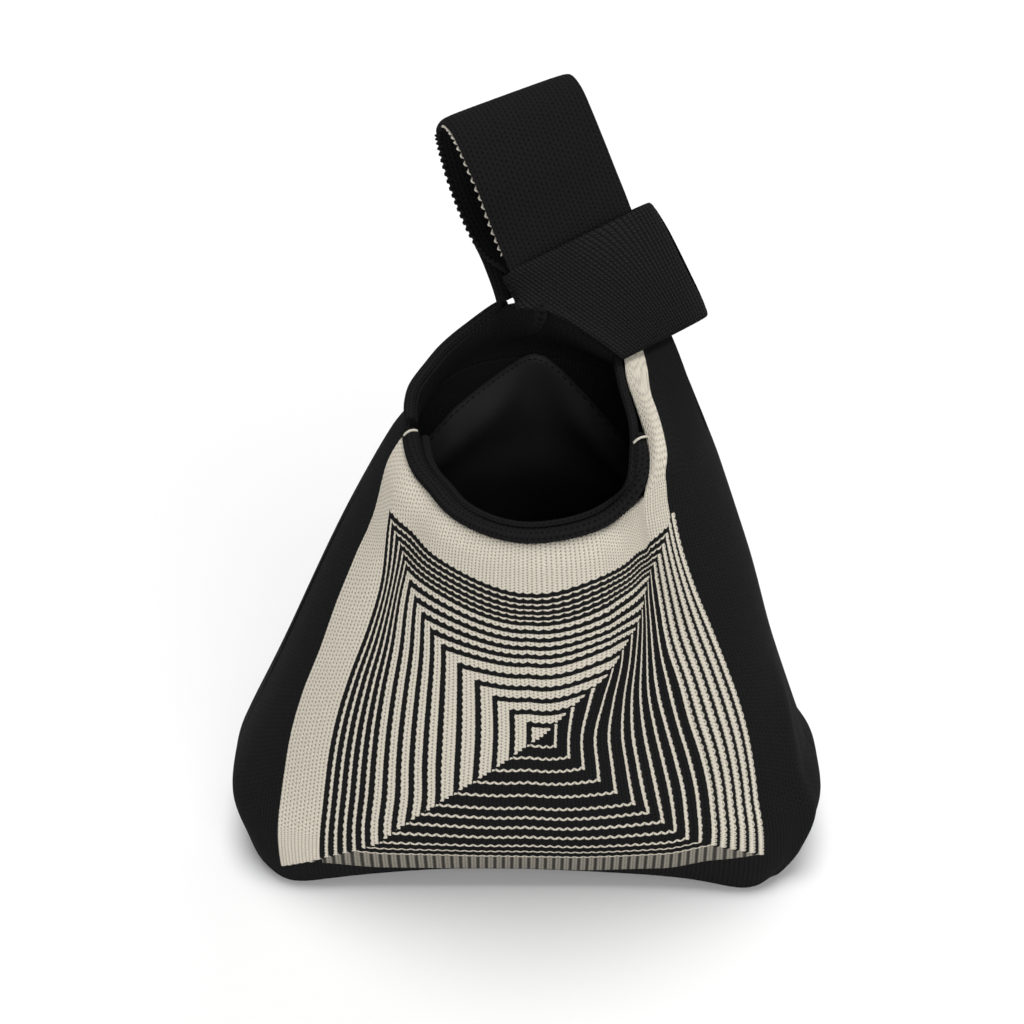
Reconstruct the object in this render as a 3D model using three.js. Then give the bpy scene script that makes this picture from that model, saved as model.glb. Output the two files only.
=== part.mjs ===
// Knit knot bag: a soft two-colour knit body on a boxed base, a woven lining, a short handle whose
// band is drawn into a flat ring, and a long handle that runs up through that ring to a grip loop.
// Millimetres, +Z up, +X to the right as the bag is seen from the front, front towards -Y.
// The origin lies under the middle of the body, on the surface that the bag stands on.
import * as THREE from "three";
import { mergeVertices } from "three/addons/utils/BufferGeometryUtils.js";

// Fabric layers and the clearances between them
const KNIT_THICKNESS = 3.2;
const LINING_THICKNESS = 1.2;
const STRAP_THICKNESS = 2.8;
const LAYER_GAP = 0.8;
const SEAM_GAP = 0.4;

// Body: its height at the shoulders, the scoop of the front mouth and the lift of the hem
const SHOULDER_HEIGHT = 208;
const FRONT_RIM_HEIGHT = 190;
const RIM_SCOOP_POWER = 1.6;
const HEM_HEIGHT = 0.6;
const HEM_ARCH_HEIGHT = 6;
const HEM_ARCH_MIDDLE = -12;
const HEM_ARCH_WIDTH = 56;

// The front rim rises on the right, where the long handle is knit on
const RIM_RISE_HEIGHT = 7;
const RIM_RISE_DEGREES = 12;

// Body: its largest half width and half depth, and its neck at the shoulders
const BODY_HALF_WIDTH = 125;
const BODY_HALF_DEPTH = 48;
const NECK_LEFT = 48;
const NECK_RIGHT = 66;
const NECK_HALF_DEPTH = 46;

// Body outline, where left, right, front and back are distances from the upright axis and the
// corners are superellipse exponents: 2 is an ellipse, and more is squarer
const BODY_SECTIONS = [
  { height: 0, left: 103, right: 108, front: 33, back: 33, frontCorner: 4.6, backCorner: 4.6 },
  { height: 5, left: 118, right: 119, front: 38, back: 38, frontCorner: 4.6, backCorner: 4.6 },
  { height: 16, left: 124.5, right: BODY_HALF_WIDTH, front: 41, back: 41, frontCorner: 4.2, backCorner: 4.2 },
  { height: 50, left: 118, right: 115, front: 44, back: 43, frontCorner: 3.4, backCorner: 3.2 },
  { height: 100, left: 96, right: 99, front: 47, back: 44, frontCorner: 2.7, backCorner: 2.6 },
  { height: 150, left: 73, right: 84, front: BODY_HALF_DEPTH, back: 45, frontCorner: 2.2, backCorner: 2.2 },
  { height: FRONT_RIM_HEIGHT, left: 55, right: 71, front: 47, back: 46, frontCorner: 2, backCorner: 2 },
  {
    height: SHOULDER_HEIGHT,
    left: NECK_LEFT,
    right: NECK_RIGHT,
    front: NECK_HALF_DEPTH,
    back: NECK_HALF_DEPTH,
    frontCorner: 2,
    backCorner: 2,
  },
];

// Facets of the body round each half and up its height, crowded towards the hem where it curls in
const WALL_STEPS_ROUND = 30;
const WALL_STEPS_UP = 14;
const WALL_STEP_CROWDING = 1.8;

// Base plate and the lining's floor above it
const BASE_THICKNESS = 2.6;
const BASE_INSET = 0.7;
const FLOOR_INSET = 7.2;
const OUTLINE_POINTS = 48;
const LINING_FOOT_HEIGHT = 8;

// The lining's top seam, this far below the rim of the mouth
const LINING_SEAM_DROP = 14;

// Neck trims
const BORDER_RADIUS = 2.6;
const TACK_CLEARANCE = 0.8;
const NECK_ROLL_RADIUS = 2.2;
const BORDER_SPAN = [-177, -52];
const TACK_RADIUS = 0.8;
const TACK_TURN = 9;
const TACK_SWING = 68;

// Ring of the short handle: its middle and size, with its two directions up the long handle and
// across it, and the slanted lower edge where its band turns in to the wall of the mouth
const STRAP_WIDTH = 50;
const RING_ABOVE_SHOULDER = 35;
const RING_CENTRE = new THREE.Vector3(26, 30, SHOULDER_HEIGHT + RING_ABOVE_SHOULDER);
const UP_HANDLE = new THREE.Vector3(-0.492, 0.395, 0.777).normalize();
const ACROSS_HANDLE = new THREE.Vector3(0.884, 0.385, 0.257).normalize();
const RING_LENGTH = 46;
const RING_WALL = 3;
const RING_CORNER = 2.8;
const RING_SIDE_CLEARANCE = 0.6;
const RING_FACE_CLEARANCE = 0.8;
const RING_SLANT_START = -6;
const RING_SLANT_END = -22;
const RING_SLANT_RISE = 32;

// Throat: the two layers of the long handle inside the ring, ending in a rounded knuckle
const THROAT_THICKNESS = 7.2;
const THROAT_CORNER = 3.2;
const KNUCKLE_ABOVE_RING = 1.2;
const KNUCKLE_DEGREES = 82;
const KNUCKLE_CLEARANCE = 0.7;

// Grip loop, seen from its side
const GRIP_LENGTH = 50.5;
const GRIP_START_DEGREES = 34;
const GRIP_START_REACH = 27;
const GRIP_TOP_REACH = 30;
const WHIP_STITCH_RADIUS = 0.9;

// Legs of the handles: the spans of the shoulder that they rise from, in degrees, and the part of
// the ring's width that the long handle's legs enter by
const LONG_FRONT_SPAN = [-46, -5];
const LONG_BACK_SPAN = [66, 5];
const LONG_ENTRY = [-5, 22];
const SHORT_SPAN = [178, 98];
const SHORT_LEG_POINTS = 6;
const LEG_RISE_SPAN = 10;
const LEG_FOOT_GAP = 0.8;
const LEG_TO_RING = 3.8;
const LEG_BELOW_SLANT = 12;
const LEG_BELOW_TOP = 3;
const MOUTH_WALL_START = 4;
const MOUTH_WALL_RISE = 24;
const MOUTH_WALL_POWER = 1.5;

// Rolled edges on the legs: how far each is lifted off its edge and the share of the edge it covers
const LEFT_ROLL_LIFT = SEAM_GAP + 1.3 * NECK_ROLL_RADIUS;
const LEFT_ROLL_SHARE = 0.66;
const RIGHT_ROLL_LIFT_SHARE = 0.1;
const RIGHT_ROLL_SPAN = [0.08, 0.9];

// Facets of the tubes, the ring and the straps
const RIM_POINTS = 14;
const RIM_STEPS = 28;
const ROLL_POINTS = 8;
const TACK_STEPS = 10;
const RING_STEPS = [40, 8];
const SHORT_LEG_STEPS = [24, 4];
const LONG_LEG_STEPS = [10, 10];
const THROAT_STEPS = 32;
const GRIP_STEPS = [4, 26];
const STITCH_POINTS = 12;

const KNIT_BLACK = { color: 0x161517, roughness: 0.95, metalness: 0 };
const KNIT_CREAM = { color: 0xd9d0bf, roughness: 0.95, metalness: 0 };
const WOVEN_BLACK = { color: 0x101011, roughness: 0.8, metalness: 0 };

const HALF_TURN = Math.PI;
const radians = THREE.MathUtils.degToRad;
const lerp = THREE.MathUtils.lerp;
const ringFace = new THREE.Vector3().crossVectors(ACROSS_HANDLE, UP_HANDLE).normalize();
const ringHalfWidth = STRAP_WIDTH / 2 + RING_SIDE_CLEARANCE + RING_WALL;
const ringHalfDepth = THROAT_THICKNESS / 2 + RING_FACE_CLEARANCE + RING_WALL;
const bag = new THREE.Group();

function addPiece(name, geometry, finish) {
  const mesh = new THREE.Mesh(geometry, new THREE.MeshStandardMaterial(finish));
  mesh.name = name;
  bag.add(mesh);
}

function closedGeometry(corners) {
  const merged = mergeVertices(new THREE.BufferGeometry().setFromPoints(corners), 1e-4);
  merged.computeVertexNormals();
  return merged;
}

// The body's outline at a height, by a smooth curve through the rows of the table
function sectionAt(height) {
  const rows = BODY_SECTIONS;
  const last = rows.length - 2;
  const above = rows.findIndex((row) => row.height > height);
  const i = above < 0 ? last : Math.max(above - 1, 0);
  const [before, from, to] = [rows[Math.max(i - 1, 0)], rows[i], rows[i + 1]];
  const after = rows[Math.min(i + 2, last + 1)];
  const span = to.height - from.height;
  const t = (height - from.height) / span;
  const blend = (key) => {
    const slopeIn = ((to[key] - before[key]) / (to.height - before.height)) * span;
    const slopeOut = ((after[key] - from[key]) / (after.height - from.height)) * span;
    const rise = 3 * t ** 2 - 2 * t ** 3;
    const bend = slopeIn * (t ** 3 - 2 * t ** 2 + t) + slopeOut * (t ** 3 - t ** 2);
    return lerp(from[key], to[key], rise) + bend;
  };
  return Object.fromEntries(Object.keys(from).map((key) => [key, blend(key)]));
}

// A point of the body's outer surface: the angle is 0 on the right and 90 degrees at the back
function bodyPoint(angle, height) {
  const row = sectionAt(height);
  const [c, s] = [Math.cos(angle), Math.sin(angle)];
  const corner = s < 0 ? row.frontCorner : row.backCorner;
  const x = (c < 0 ? -row.left : row.right) * Math.abs(c) ** (2 / corner);
  const y = (s < 0 ? -row.front : row.back) * Math.abs(s) ** (2 / corner);
  return new THREE.Vector3(x, y, height);
}

// The same point moved inward through the fabric by a depth
function insideBody(angle, height, depth) {
  const step = 0.01;
  const round = bodyPoint(angle + step, height).sub(bodyPoint(angle - step, height));
  const up = bodyPoint(angle, height + step).sub(bodyPoint(angle, height - step));
  return bodyPoint(angle, height).addScaledVector(round.cross(up).normalize(), -depth);
}

// A closed solid between two offsets of a surface given by pointAt(u, v), both from 0 to 1
function sheetSolid(pointAt, stepsU, stepsV, outward, inward, closed = false) {
  const step = 1e-3;
  const columns = closed ? stepsU : stepsU + 1;
  const [outer, inner] = [[], []];
  for (let j = 0; j <= stepsV; j++) {
    for (let i = 0; i < columns; i++) {
      const [u, v] = [i / stepsU, j / stepsV];
      const [u0, u1] = closed ? [u - step, u + step] : [Math.max(u - step, 0), Math.min(u + step, 1)];
      const round = pointAt(u1, v).sub(pointAt(u0, v));
      const up = pointAt(u, Math.min(v + step, 1)).sub(pointAt(u, Math.max(v - step, 0)));
      const normal = round.cross(up).normalize();
      outer.push(pointAt(u, v).addScaledVector(normal, outward));
      inner.push(pointAt(u, v).addScaledVector(normal, -inward));
    }
  }
  const corners = [];
  const quad = (a, b, c, d) => corners.push(a, b, c, a, c, d);
  const at = (list, i, j) => list[j * columns + (i % columns)];
  for (let i = 0; i < stepsU; i++) {
    for (let j = 0; j < stepsV; j++) {
      quad(at(outer, i, j), at(outer, i + 1, j), at(outer, i + 1, j + 1), at(outer, i, j + 1));
      quad(at(inner, i, j), at(inner, i, j + 1), at(inner, i + 1, j + 1), at(inner, i + 1, j));
    }
    quad(at(inner, i, 0), at(inner, i + 1, 0), at(outer, i + 1, 0), at(outer, i, 0));
    quad(at(outer, i, stepsV), at(outer, i + 1, stepsV), at(inner, i + 1, stepsV), at(inner, i, stepsV));
  }
  for (let j = 0; j < stepsV && !closed; j++) {
    quad(at(outer, 0, j), at(outer, 0, j + 1), at(inner, 0, j + 1), at(inner, 0, j));
    quad(at(inner, stepsU, j), at(inner, stepsU, j + 1), at(outer, stepsU, j + 1), at(outer, stepsU, j));
  }
  return closedGeometry(corners);
}

// A closed solid through a stack of loops given by pointAt(u, v), closed round u and capped at both ends
function stackSolid(pointAt, stepsU, stepsV) {
  const loops = [];
  for (let j = 0; j <= stepsV; j++) {
    loops.push(Array.from({ length: stepsU }, (_, i) => pointAt(i / stepsU, j / stepsV)));
  }
  const middle = (loop) => loop.reduce((sum, p) => sum.add(p), new THREE.Vector3()).divideScalar(loop.length);
  const [foot, head] = [middle(loops[0]), middle(loops[stepsV])];
  const corners = [];
  for (let i = 0; i < stepsU; i++) {
    const k = (i + 1) % stepsU;
    for (let j = 0; j < stepsV; j++) {
      const [a, b, c, d] = [loops[j][i], loops[j][k], loops[j + 1][k], loops[j + 1][i]];
      corners.push(a, b, c, a, c, d);
    }
    corners.push(foot, loops[0][k], loops[0][i], head, loops[stepsV][i], loops[stepsV][k]);
  }
  return closedGeometry(corners);
}

// A flat plate in the body's outline at a height, drawn in by an inset
function plate(outlineHeight, inset, bottom, thickness) {
  const step = 0.01;
  const outline = Array.from({ length: OUTLINE_POINTS }, (_, i) => {
    const angle = ((i + 0.5) / OUTLINE_POINTS) * 2 * HALF_TURN;
    const { x, y } = bodyPoint(angle, outlineHeight);
    const ahead = bodyPoint(angle + step, outlineHeight);
    const round = ahead.sub(bodyPoint(angle - step, outlineHeight)).normalize();
    return new THREE.Vector2(x - round.y * inset, y + round.x * inset);
  });
  const shape = new THREE.Shape(outline);
  const geometry = new THREE.ExtrudeGeometry(shape, { depth: thickness, bevelEnabled: false });
  return geometry.translate(0, 0, bottom);
}

// A round tube with capped ends through points
function tubeThrough(points, radius, steps) {
  const circle = new THREE.Shape().absarc(0, 0, radius, 0, 2 * HALF_TURN);
  const extrudePath = new THREE.CatmullRomCurve3(points);
  return new THREE.ExtrudeGeometry(circle, { extrudePath, steps, curveSegments: 4, bevelEnabled: false });
}

// The front mouth dips between the shoulders and rises at the foot of the long handle
function frontRimHeight(angle) {
  const dip = (SHOULDER_HEIGHT - FRONT_RIM_HEIGHT) * Math.abs(Math.cos(angle)) ** RIM_SCOOP_POWER;
  const away = (angle - radians(LONG_FRONT_SPAN[0])) / radians(RIM_RISE_DEGREES);
  return FRONT_RIM_HEIGHT + dip + RIM_RISE_HEIGHT * Math.exp(-(away ** 2));
}

// The hem lifts off the surface in the middle of the front and of the back
function hemHeight(angle) {
  const { x } = bodyPoint(angle, HEM_HEIGHT);
  const away = (x - HEM_ARCH_MIDDLE) / HEM_ARCH_WIDTH;
  return HEM_HEIGHT + HEM_ARCH_HEIGHT * Math.exp(-(away ** 2));
}

// Half of the body's wall, or of the lining inside it, between two heights at each angle
function halfWall(side, footAt, topAt, depth, thickness) {
  const start = side < 0 ? -HALF_TURN : 0;
  const pointAt = (u, v) => {
    const angle = start + HALF_TURN * u;
    const p = bodyPoint(angle, lerp(footAt(angle), topAt(angle), v ** WALL_STEP_CROWDING));
    p.y += (side * SEAM_GAP) / 2;
    return p;
  };
  return sheetSolid(pointAt, WALL_STEPS_ROUND, WALL_STEPS_UP, -depth, depth + thickness);
}

function makeBody() {
  const shoulder = () => SHOULDER_HEIGHT;
  addPiece("front_panel", halfWall(-1, hemHeight, frontRimHeight, 0, KNIT_THICKNESS), KNIT_CREAM);
  addPiece("back_panel", halfWall(1, hemHeight, shoulder, 0, KNIT_THICKNESS), KNIT_BLACK);
  addPiece("base_panel", plate(0, BASE_INSET, 0, BASE_THICKNESS), KNIT_BLACK);
}

function makeLining() {
  const depth = KNIT_THICKNESS + LAYER_GAP;
  const foot = () => LINING_FOOT_HEIGHT;
  const front = (angle) => frontRimHeight(angle) - LINING_SEAM_DROP;
  const back = () => SHOULDER_HEIGHT - LINING_SEAM_DROP;
  addPiece("lining_front", halfWall(-1, foot, front, depth, LINING_THICKNESS), WOVEN_BLACK);
  addPiece("lining_back", halfWall(1, foot, back, depth, LINING_THICKNESS), WOVEN_BLACK);
  const floor = LINING_FOOT_HEIGHT - SEAM_GAP;
  addPiece("lining_base", plate(LINING_FOOT_HEIGHT, FLOOR_INSET, floor, LINING_THICKNESS), WOVEN_BLACK);
}

// The rim of the front mouth: a black border on the panel's edge, and the rolled edge of the inside
function makeFrontRim() {
  const border = [];
  const roll = [];
  const borderDepth = KNIT_THICKNESS / 2;
  const rollDepth = borderDepth + BORDER_RADIUS + SEAM_GAP + NECK_ROLL_RADIUS;
  for (let i = 0; i <= RIM_POINTS; i++) {
    const angle = radians(lerp(...BORDER_SPAN, i / RIM_POINTS));
    const height = frontRimHeight(angle) + SEAM_GAP + BORDER_RADIUS;
    border.push(insideBody(angle, height, borderDepth));
    roll.push(insideBody(angle, height - BORDER_RADIUS / 2, rollDepth));
  }
  addPiece("front_neck_border", tubeThrough(border, BORDER_RADIUS, RIM_STEPS), KNIT_BLACK);
  addPiece("front_neck_roll", tubeThrough(roll, NECK_ROLL_RADIUS, RIM_STEPS), KNIT_BLACK);
  makeTack("left_tack", radians(BORDER_SPAN[0] + TACK_TURN));
  makeTack("right_tack", radians(BORDER_SPAN[1] - TACK_TURN));
}

// A short bar of thread over the border, from the knit outside it to the rolled edge inside
function makeTack(name, angle) {
  const height = frontRimHeight(angle) + SEAM_GAP + BORDER_RADIUS;
  const reach = BORDER_RADIUS + TACK_CLEARANCE + TACK_RADIUS;
  const points = [-1, -0.5, 0, 0.5, 1].map((turn) => {
    const swing = turn * radians(TACK_SWING);
    const p = insideBody(angle, height, KNIT_THICKNESS / 2 + reach * Math.sin(swing));
    p.z += reach * Math.cos(swing);
    return p;
  });
  addPiece(name, tubeThrough(points, TACK_RADIUS, TACK_STEPS), KNIT_CREAM);
}

// A point of the ring's frame: along the handle, across it and out of its face
function ringPoint(along, across, out) {
  return RING_CENTRE.clone()
    .addScaledVector(UP_HANDLE, along)
    .addScaledVector(ACROSS_HANDLE, across)
    .addScaledVector(ringFace, out);
}

// The ring's lower edge is slanted on the left
function ringFoot(across) {
  const share = (RING_SLANT_START - across) / (RING_SLANT_START - RING_SLANT_END);
  return -RING_LENGTH / 2 + RING_SLANT_RISE * THREE.MathUtils.clamp(share, 0, 1);
}

function makeRing() {
  const corner = 2 / RING_CORNER;
  const pointAt = (u, v) => {
    const angle = u * 2 * HALF_TURN;
    const [c, s] = [Math.cos(angle), Math.sin(angle)];
    const across = ringHalfWidth * Math.sign(c) * Math.abs(c) ** corner;
    const out = ringHalfDepth * Math.sign(s) * Math.abs(s) ** corner;
    return ringPoint(lerp(ringFoot(across), RING_LENGTH / 2, v), across, -out);
  };
  addPiece("short_handle_ring", sheetSolid(pointAt, ...RING_STEPS, 0, RING_WALL, true), KNIT_BLACK);
}

// A line through the middles of the wall of the mouth and then to the left end of the ring
function shortHandleEdge(riseAt, ringAlong) {
  const points = [];
  for (let i = 0; i <= SHORT_LEG_POINTS; i++) {
    const share = i / SHORT_LEG_POINTS;
    const angle = radians(lerp(...SHORT_SPAN, share));
    const { x, y } = insideBody(angle, SHOULDER_HEIGHT, STRAP_THICKNESS + SEAM_GAP / 2);
    points.push(new THREE.Vector3(x, y, SHOULDER_HEIGHT + LEG_FOOT_GAP + riseAt(share)));
  }
  const turn = -ringHalfWidth - LEG_TO_RING;
  points.push(ringPoint(ringAlong, turn, -ringHalfDepth), ringPoint(ringAlong, turn, ringHalfDepth / 2));
  return new THREE.CatmullRomCurve3(points);
}

// The short handle's two legs lie one behind the other along the left and back wall of the mouth,
// rise to its rim, and turn forward to the left end of the ring
function makeShortHandleLegs() {
  const wallRise = (share) => lerp(MOUTH_WALL_START, MOUTH_WALL_RISE, share ** MOUTH_WALL_POWER);
  const low = shortHandleEdge(() => 0, ringFoot(-ringHalfWidth) - LEG_BELOW_SLANT);
  const high = shortHandleEdge(wallRise, RING_LENGTH / 2 - LEG_BELOW_TOP);
  const pointAt = (u, v) => low.getPoint(u).lerp(high.getPoint(u), v);
  const near = SEAM_GAP / 2;
  const far = near + STRAP_THICKNESS;
  addPiece("short_handle_back_leg", sheetSolid(pointAt, ...SHORT_LEG_STEPS, far, -near), KNIT_BLACK);
  addPiece("short_handle_front_leg", sheetSolid(pointAt, ...SHORT_LEG_STEPS, -near, far), KNIT_BLACK);
  const lifted = (share) => wallRise(share) + LEFT_ROLL_LIFT;
  const roll = shortHandleEdge(lifted, RING_LENGTH / 2 + LEFT_ROLL_LIFT);
  const shares = Array.from({ length: ROLL_POINTS + 1 }, (_, i) => (LEFT_ROLL_SHARE * i) / ROLL_POINTS);
  const rim = shares.map((share) => roll.getPoint(share));
  addPiece("left_neck_roll", tubeThrough(rim, NECK_ROLL_RADIUS, 3 * ROLL_POINTS), KNIT_BLACK);
}

// The long handle's two legs rise from the shoulders on the right and draw together into the ring
function makeLongHandleLegs() {
  const legs = [
    { name: "long_handle_front_leg", span: LONG_FRONT_SPAN, topAt: frontRimHeight, side: 1 },
    { name: "long_handle_back_leg", span: LONG_BACK_SPAN, topAt: () => SHOULDER_HEIGHT, side: -1 },
  ];
  for (const { name, span, topAt, side } of legs) {
    const out = (side * (STRAP_THICKNESS + SEAM_GAP)) / 2;
    const pointAt = (u, v) => {
      const angle = radians(lerp(...span, u));
      const foot = insideBody(angle, topAt(angle), STRAP_THICKNESS / 2);
      foot.z = topAt(angle) + SEAM_GAP;
      const across = lerp(...LONG_ENTRY, u);
      const head = ringPoint(-RING_LENGTH / 2 - SEAM_GAP, across, out);
      const reach = foot.distanceTo(head);
      const below = bodyPoint(angle, SHOULDER_HEIGHT - LEG_RISE_SPAN);
      const rise = bodyPoint(angle, SHOULDER_HEIGHT).sub(below).setLength(reach);
      const bend = new THREE.CubicBezierCurve3(
        foot,
        foot.clone().addScaledVector(rise, 1 / 3),
        head.clone().addScaledVector(UP_HANDLE, -reach / 3),
        head,
      );
      return bend.getPoint(v);
    };
    const flip = side > 0 ? (u) => u : (u) => 1 - u;
    const half = STRAP_THICKNESS / 2;
    const sheet = sheetSolid((u, v) => pointAt(flip(u), v), ...LONG_LEG_STEPS, half, half);
    addPiece(name, sheet, KNIT_BLACK);
    if (side > 0) {
      const shares = Array.from({ length: ROLL_POINTS - 1 }, (_, i) => i / (ROLL_POINTS - 2));
      const edge = shares.map((share) => pointAt(-RIGHT_ROLL_LIFT_SHARE, lerp(...RIGHT_ROLL_SPAN, share)));
      addPiece("right_neck_roll", tubeThrough(edge, NECK_ROLL_RADIUS, 2 * ROLL_POINTS - 2), KNIT_BLACK);
    }
  }
}

// The long handle inside the ring, with its top rounded about the line that the grip tilts on
function makeThroat() {
  const halfDepth = THROAT_THICKNESS / 2;
  const pivot = RING_LENGTH / 2 + KNUCKLE_ABOVE_RING;
  const corner = 2 / THROAT_CORNER;
  const straightLoops = 6;
  const loops = 10;
  const pointAt = (u, v) => {
    const angle = u * 2 * HALF_TURN;
    const [c, s] = [Math.cos(angle), Math.sin(angle)];
    const across = (STRAP_WIDTH / 2) * Math.sign(c) * Math.abs(c) ** corner;
    const step = Math.round(v * loops);
    const turn = (Math.max(0, step - straightLoops) / (loops - straightLoops)) * radians(KNUCKLE_DEGREES);
    const out = halfDepth * Math.cos(turn) * Math.sign(s) * Math.abs(s) ** corner;
    const straight = lerp(ringFoot(across), pivot, Math.min(1, step / straightLoops));
    return ringPoint(straight + halfDepth * Math.sin(turn), across, -out);
  };
  addPiece("handle_throat", stackSolid(pointAt, THROAT_STEPS, loops), KNIT_BLACK);
}

// The grip loop: a front and a back strap that part above the throat and meet again at the top fold
function makeGrip() {
  const pivot = ringPoint(RING_LENGTH / 2 + KNUCKLE_ABOVE_RING, 0, 0);
  const upGrip = new THREE.Vector3().crossVectors(ringFace, ACROSS_HANDLE).normalize();
  const start = THROAT_THICKNESS / 2 + KNUCKLE_CLEARANCE;
  const open = radians(GRIP_START_DEGREES);
  const profile = (side) => {
    const at = (along, out) => {
      const p = pivot.clone().addScaledVector(upGrip, along);
      return p.addScaledVector(ringFace, side * out);
    };
    return new THREE.CubicBezierCurve3(
      at(start * Math.cos(open), start * Math.sin(open)),
      at((start + GRIP_START_REACH) * Math.cos(open), (start + GRIP_START_REACH) * Math.sin(open)),
      at(GRIP_LENGTH, GRIP_TOP_REACH),
      at(GRIP_LENGTH, SEAM_GAP / 2),
    );
  };
  for (const [name, side] of [
    ["grip_front_strap", 1],
    ["grip_back_strap", -1],
  ]) {
    const curve = profile(side);
    const half = STRAP_THICKNESS / 2;
    const pointAt = (u, v) => {
      const across = side * (u - 0.5) * STRAP_WIDTH;
      return curve.getPoint(v).addScaledVector(ACROSS_HANDLE, across);
    };
    addPiece(name, sheetSolid(pointAt, ...GRIP_STEPS, half, half), KNIT_BLACK);
  }
  const edge = -STRAP_WIDTH / 2 - SEAM_GAP - WHIP_STITCH_RADIUS;
  const stitch = profile(1)
    .getPoints(STITCH_POINTS)
    .map((p) => p.addScaledVector(ACROSS_HANDLE, edge));
  addPiece("grip_edge_stitch", tubeThrough(stitch, WHIP_STITCH_RADIUS, 2 * STITCH_POINTS), KNIT_CREAM);
}

makeBody();
makeLining();
makeFrontRim();
makeRing();
makeShortHandleLegs();
makeLongHandleLegs();
makeThroat();
makeGrip();

export default bag;
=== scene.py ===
"""Knit knot bag: jacquard body, woven lining, short handle ring and long handle loop, in a pale studio."""

from __future__ import annotations

import logging
import math
from collections.abc import Callable, Sequence
from dataclasses import dataclass, field
from enum import Enum

import bmesh
import bpy
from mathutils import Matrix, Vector


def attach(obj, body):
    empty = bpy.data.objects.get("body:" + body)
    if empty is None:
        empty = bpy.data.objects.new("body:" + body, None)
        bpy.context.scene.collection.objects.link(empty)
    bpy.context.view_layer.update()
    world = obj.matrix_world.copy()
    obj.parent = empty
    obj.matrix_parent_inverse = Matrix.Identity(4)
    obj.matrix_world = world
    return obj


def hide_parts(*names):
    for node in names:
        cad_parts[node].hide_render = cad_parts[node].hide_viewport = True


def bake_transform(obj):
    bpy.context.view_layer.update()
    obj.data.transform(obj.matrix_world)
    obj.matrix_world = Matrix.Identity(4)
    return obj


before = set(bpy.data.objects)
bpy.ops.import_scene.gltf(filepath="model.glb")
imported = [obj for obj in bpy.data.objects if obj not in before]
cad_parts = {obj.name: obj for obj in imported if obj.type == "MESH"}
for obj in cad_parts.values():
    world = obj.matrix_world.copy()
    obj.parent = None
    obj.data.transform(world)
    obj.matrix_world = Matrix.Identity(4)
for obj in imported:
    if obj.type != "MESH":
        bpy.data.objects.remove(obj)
log = logging.getLogger("knot_bag")

MM = 0.001
STEP = 1e-3  # the share by which a curve is stepped to find its direction
WELD = 0.004  # millimetres within which a strand's own edges are joined
LENGTH_PARTS = 40  # the straight parts that a path's length is measured in
STITCH_WIDTH = 1.7  # millimetres of strap to one stitch
TO_MIDDLE = 0.999  # the share of the way to its middle that a disc's rows close

Place = Callable[[float, float], Vector]
Stitches = Callable[[float, float], tuple[float, float]]


def mix(low: float, high: float, share: float) -> float:
    """Return the value at a share of the way from low to high."""
    return low + (high - low) * share


def ease(start: float, end: float, value: float) -> float:
    """Return 0 before start, 1 after end and a smooth rise between them."""
    share = min(1.0, max(0.0, (value - start) / (end - start)))
    return share * share * (3 - 2 * share)


def hump(centre: float, width: float, value: float) -> float:
    """Return a bell that is 1 at its centre and falls away over a width."""
    return math.exp(-(((value - centre) / width) ** 2))


def power(value: float, exponent: float) -> float:
    """Return a power that keeps the value's sign."""
    return math.copysign(abs(value) ** exponent, value)


def bezier(foot: Vector, first: Vector, second: Vector, head: Vector, v: float) -> Vector:
    """Return a point of a cubic curve from foot to head that two points steer.

    Args:
        foot: The first point.
        first: The point that the curve leaves towards.
        second: The point that it arrives from.
        head: The last point.
        v: The share of the way along.

    Returns:
        The point in millimetres.
    """
    w = 1 - v
    return foot * w**3 + first * (3 * w * w * v) + second * (3 * w * v * v) + head * v**3


def length_of(path: Callable[[float], Vector], start: float = 0.0, end: float = 1.0) -> float:
    """Return the length of a path between two shares of the way along it.

    Args:
        path: A place for each share.
        start: The first share.
        end: The last share.

    Returns:
        Millimetres.
    """
    marks = [path(mix(start, end, i / LENGTH_PARTS)) for i in range(LENGTH_PARTS + 1)]
    return sum((ahead - here).length for here, ahead in zip(marks, marks[1:]))


def through(table: Sequence[Sequence[float]], value: float) -> list[float]:
    """Read a table at a value of its first column, by smooth curves through its rows.

    Args:
        table: Rows of numbers, in the order of their first.
        value: Where to read, in the unit of the first column.

    Returns:
        The numbers there, without the first column's.
    """
    last = len(table) - 2
    index = next((i for i, row in enumerate(table) if row[0] > value), last + 1) - 1
    index = min(max(index, 0), last)
    before, low, high = table[max(index - 1, 0)], table[index], table[index + 1]
    after = table[min(index + 2, last + 1)]
    span = high[0] - low[0]
    t = (value - low[0]) / span
    rise = 3 * t**2 - 2 * t**3
    numbers = []
    for a, b, c, d in zip(before[1:], low[1:], high[1:], after[1:]):
        slope_in = (c - a) / (high[0] - before[0]) * span
        slope_out = (d - b) / (after[0] - low[0]) * span
        numbers.append(b + (c - b) * rise + slope_in * (t**3 - 2 * t**2 + t) + slope_out * (t**3 - t**2))
    return numbers


class Side(Enum):
    """The front or the back, by the angle at which that half of the body starts."""

    FRONT = -180.0
    BACK = 0.0


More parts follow.
